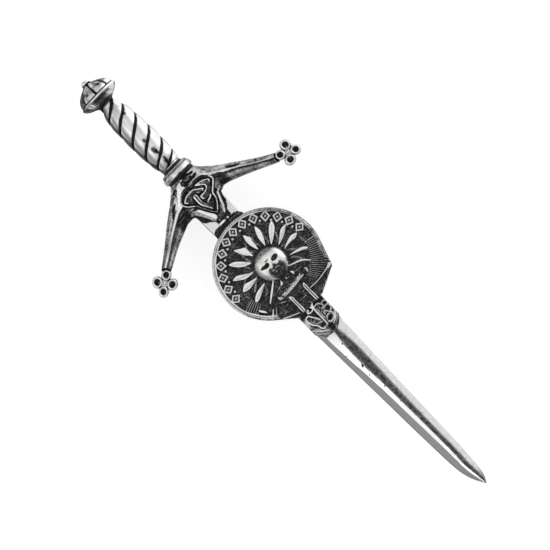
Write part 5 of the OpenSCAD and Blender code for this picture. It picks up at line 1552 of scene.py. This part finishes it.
FLOOR_HALF = 1.2
CAMERA_ROLL = radians(0.378)
CAMERA_TARGET = Vector((-0.00071, 0.00215, 0.009))
CAMERA_DISTANCE = 0.5
VIEW_WIDTH = 0.09843


def build_floor():
    mesh = bpy.data.meshes.new("floor")
    h = FLOOR_HALF
    mesh.from_pydata([(-h, -h, 0), (h, -h, 0), (h, h, 0), (-h, h, 0)], [], [(0, 1, 2, 3)])
    material = bpy.data.materials.new("floor")
    material.use_nodes = True
    shader = material.node_tree.nodes["Principled BSDF"]
    shader.inputs["Base Color"].default_value = (0.93, 0.93, 0.93, 1)
    shader.inputs["Roughness"].default_value = 0.9
    shader.inputs["Specular IOR Level"].default_value = 0.0
    shader.inputs["Emission Color"].default_value = (1, 1, 1, 1)
    shader.inputs["Emission Strength"].default_value = 0.58
    mesh.materials.append(material)
    floor = bpy.data.objects.new("floor", mesh)
    bpy.context.scene.collection.objects.link(floor)


def area_light(name, place, size, radiance):
    """A soft box that faces the pin, as bright as its radiance says wherever it is mirrored."""
    light = bpy.data.lights.new(name, "AREA")
    light.shape = "RECTANGLE"
    light.size, light.size_y = size
    light.energy = radiance * pi * size[0] * size[1]
    lamp = bpy.data.objects.new(name, light)
    lamp.location = place
    lamp.rotation_euler = (-Vector(place)).to_track_quat("-Z", "Y").to_euler()
    bpy.context.scene.collection.objects.link(lamp)


def build_lights():
    world = bpy.data.worlds.new("studio")
    bpy.context.scene.world = world
    world.use_nodes = True
    tree = world.node_tree
    background = tree.nodes["Background"]
    # The room is white above, to the right and in a narrow strip to the left, and dim below the point
    place = tree.nodes.new("ShaderNodeTexCoord").outputs["Generated"]
    parts = tree.nodes.new("ShaderNodeSeparateXYZ")
    tree.links.new(place, parts.inputs[0])
    across, along = (math_node(tree, "MULTIPLY", math_node(tree, "ADD", parts.outputs[axis], 1), 0.5)
                     for axis in ("X", "Y"))
    greys = [(0.0, 0.25), (0.07, 0.42), (0.13, 0.56), (0.18, 1.0), (0.24, 1.0), (0.32, 0.72), (0.5, 0.9),
             (0.78, 0.72), (0.87, 1.1), (1.0, 1.1)]
    fall = [(0.0, 0.3), (0.25, 0.45), (0.42, 0.95), (0.58, 1.0), (0.75, 0.8), (1.0, 0.55)]
    both = tree.nodes.new("ShaderNodeVectorMath")
    both.operation = "MULTIPLY"
    tree.links.new(colour_ramp(tree, across, greys), both.inputs[0])
    tree.links.new(colour_ramp(tree, along, fall), both.inputs[1])
    tree.links.new(both.outputs[0], background.inputs["Color"])
    background.inputs["Strength"].default_value = 1.0
    area_light("strip_left", (-0.3, 0.05, 0.42), (0.07, 0.4), 0.4)
    area_light("box_right", (0.42, 0.06, 0.14), (0.3, 0.14), 1.2)


def build_camera():
    right = Vector((1, -1, 0)).normalized()
    up = Vector((1, 1, 0)).normalized()
    roll = Matrix.Rotation(CAMERA_ROLL, 3, "Z")
    right, up = roll @ right, roll @ up
    back = right.cross(up)
    data = bpy.data.cameras.new("camera")
    data.sensor_width = 36
    data.lens = data.sensor_width * CAMERA_DISTANCE / VIEW_WIDTH
    data.clip_start = 0.01
    camera = bpy.data.objects.new("camera", data)
    place = Matrix((right, up, back)).transposed().to_4x4()
    place.translation = CAMERA_TARGET + back * CAMERA_DISTANCE
    camera.matrix_world = place
    bpy.context.scene.collection.objects.link(camera)
    bpy.context.scene.camera = camera
    bpy.context.scene.view_settings.view_transform = "Standard"


build_blade()
build_guard()
build_finial("finial_right_casting", 1, radians(16.5), (0.13, 0.09), 1.02, 0.07)
build_finial("finial_left_casting", -1, radians(6.5), (-0.2, -0.3), 1.03, 0.125)
build_collar()
build_grip()
build_pommel()
build_badge()
build_strap_end()
build_tab()
build_brooch_pin()
build_floor()
build_lights()
build_camera()
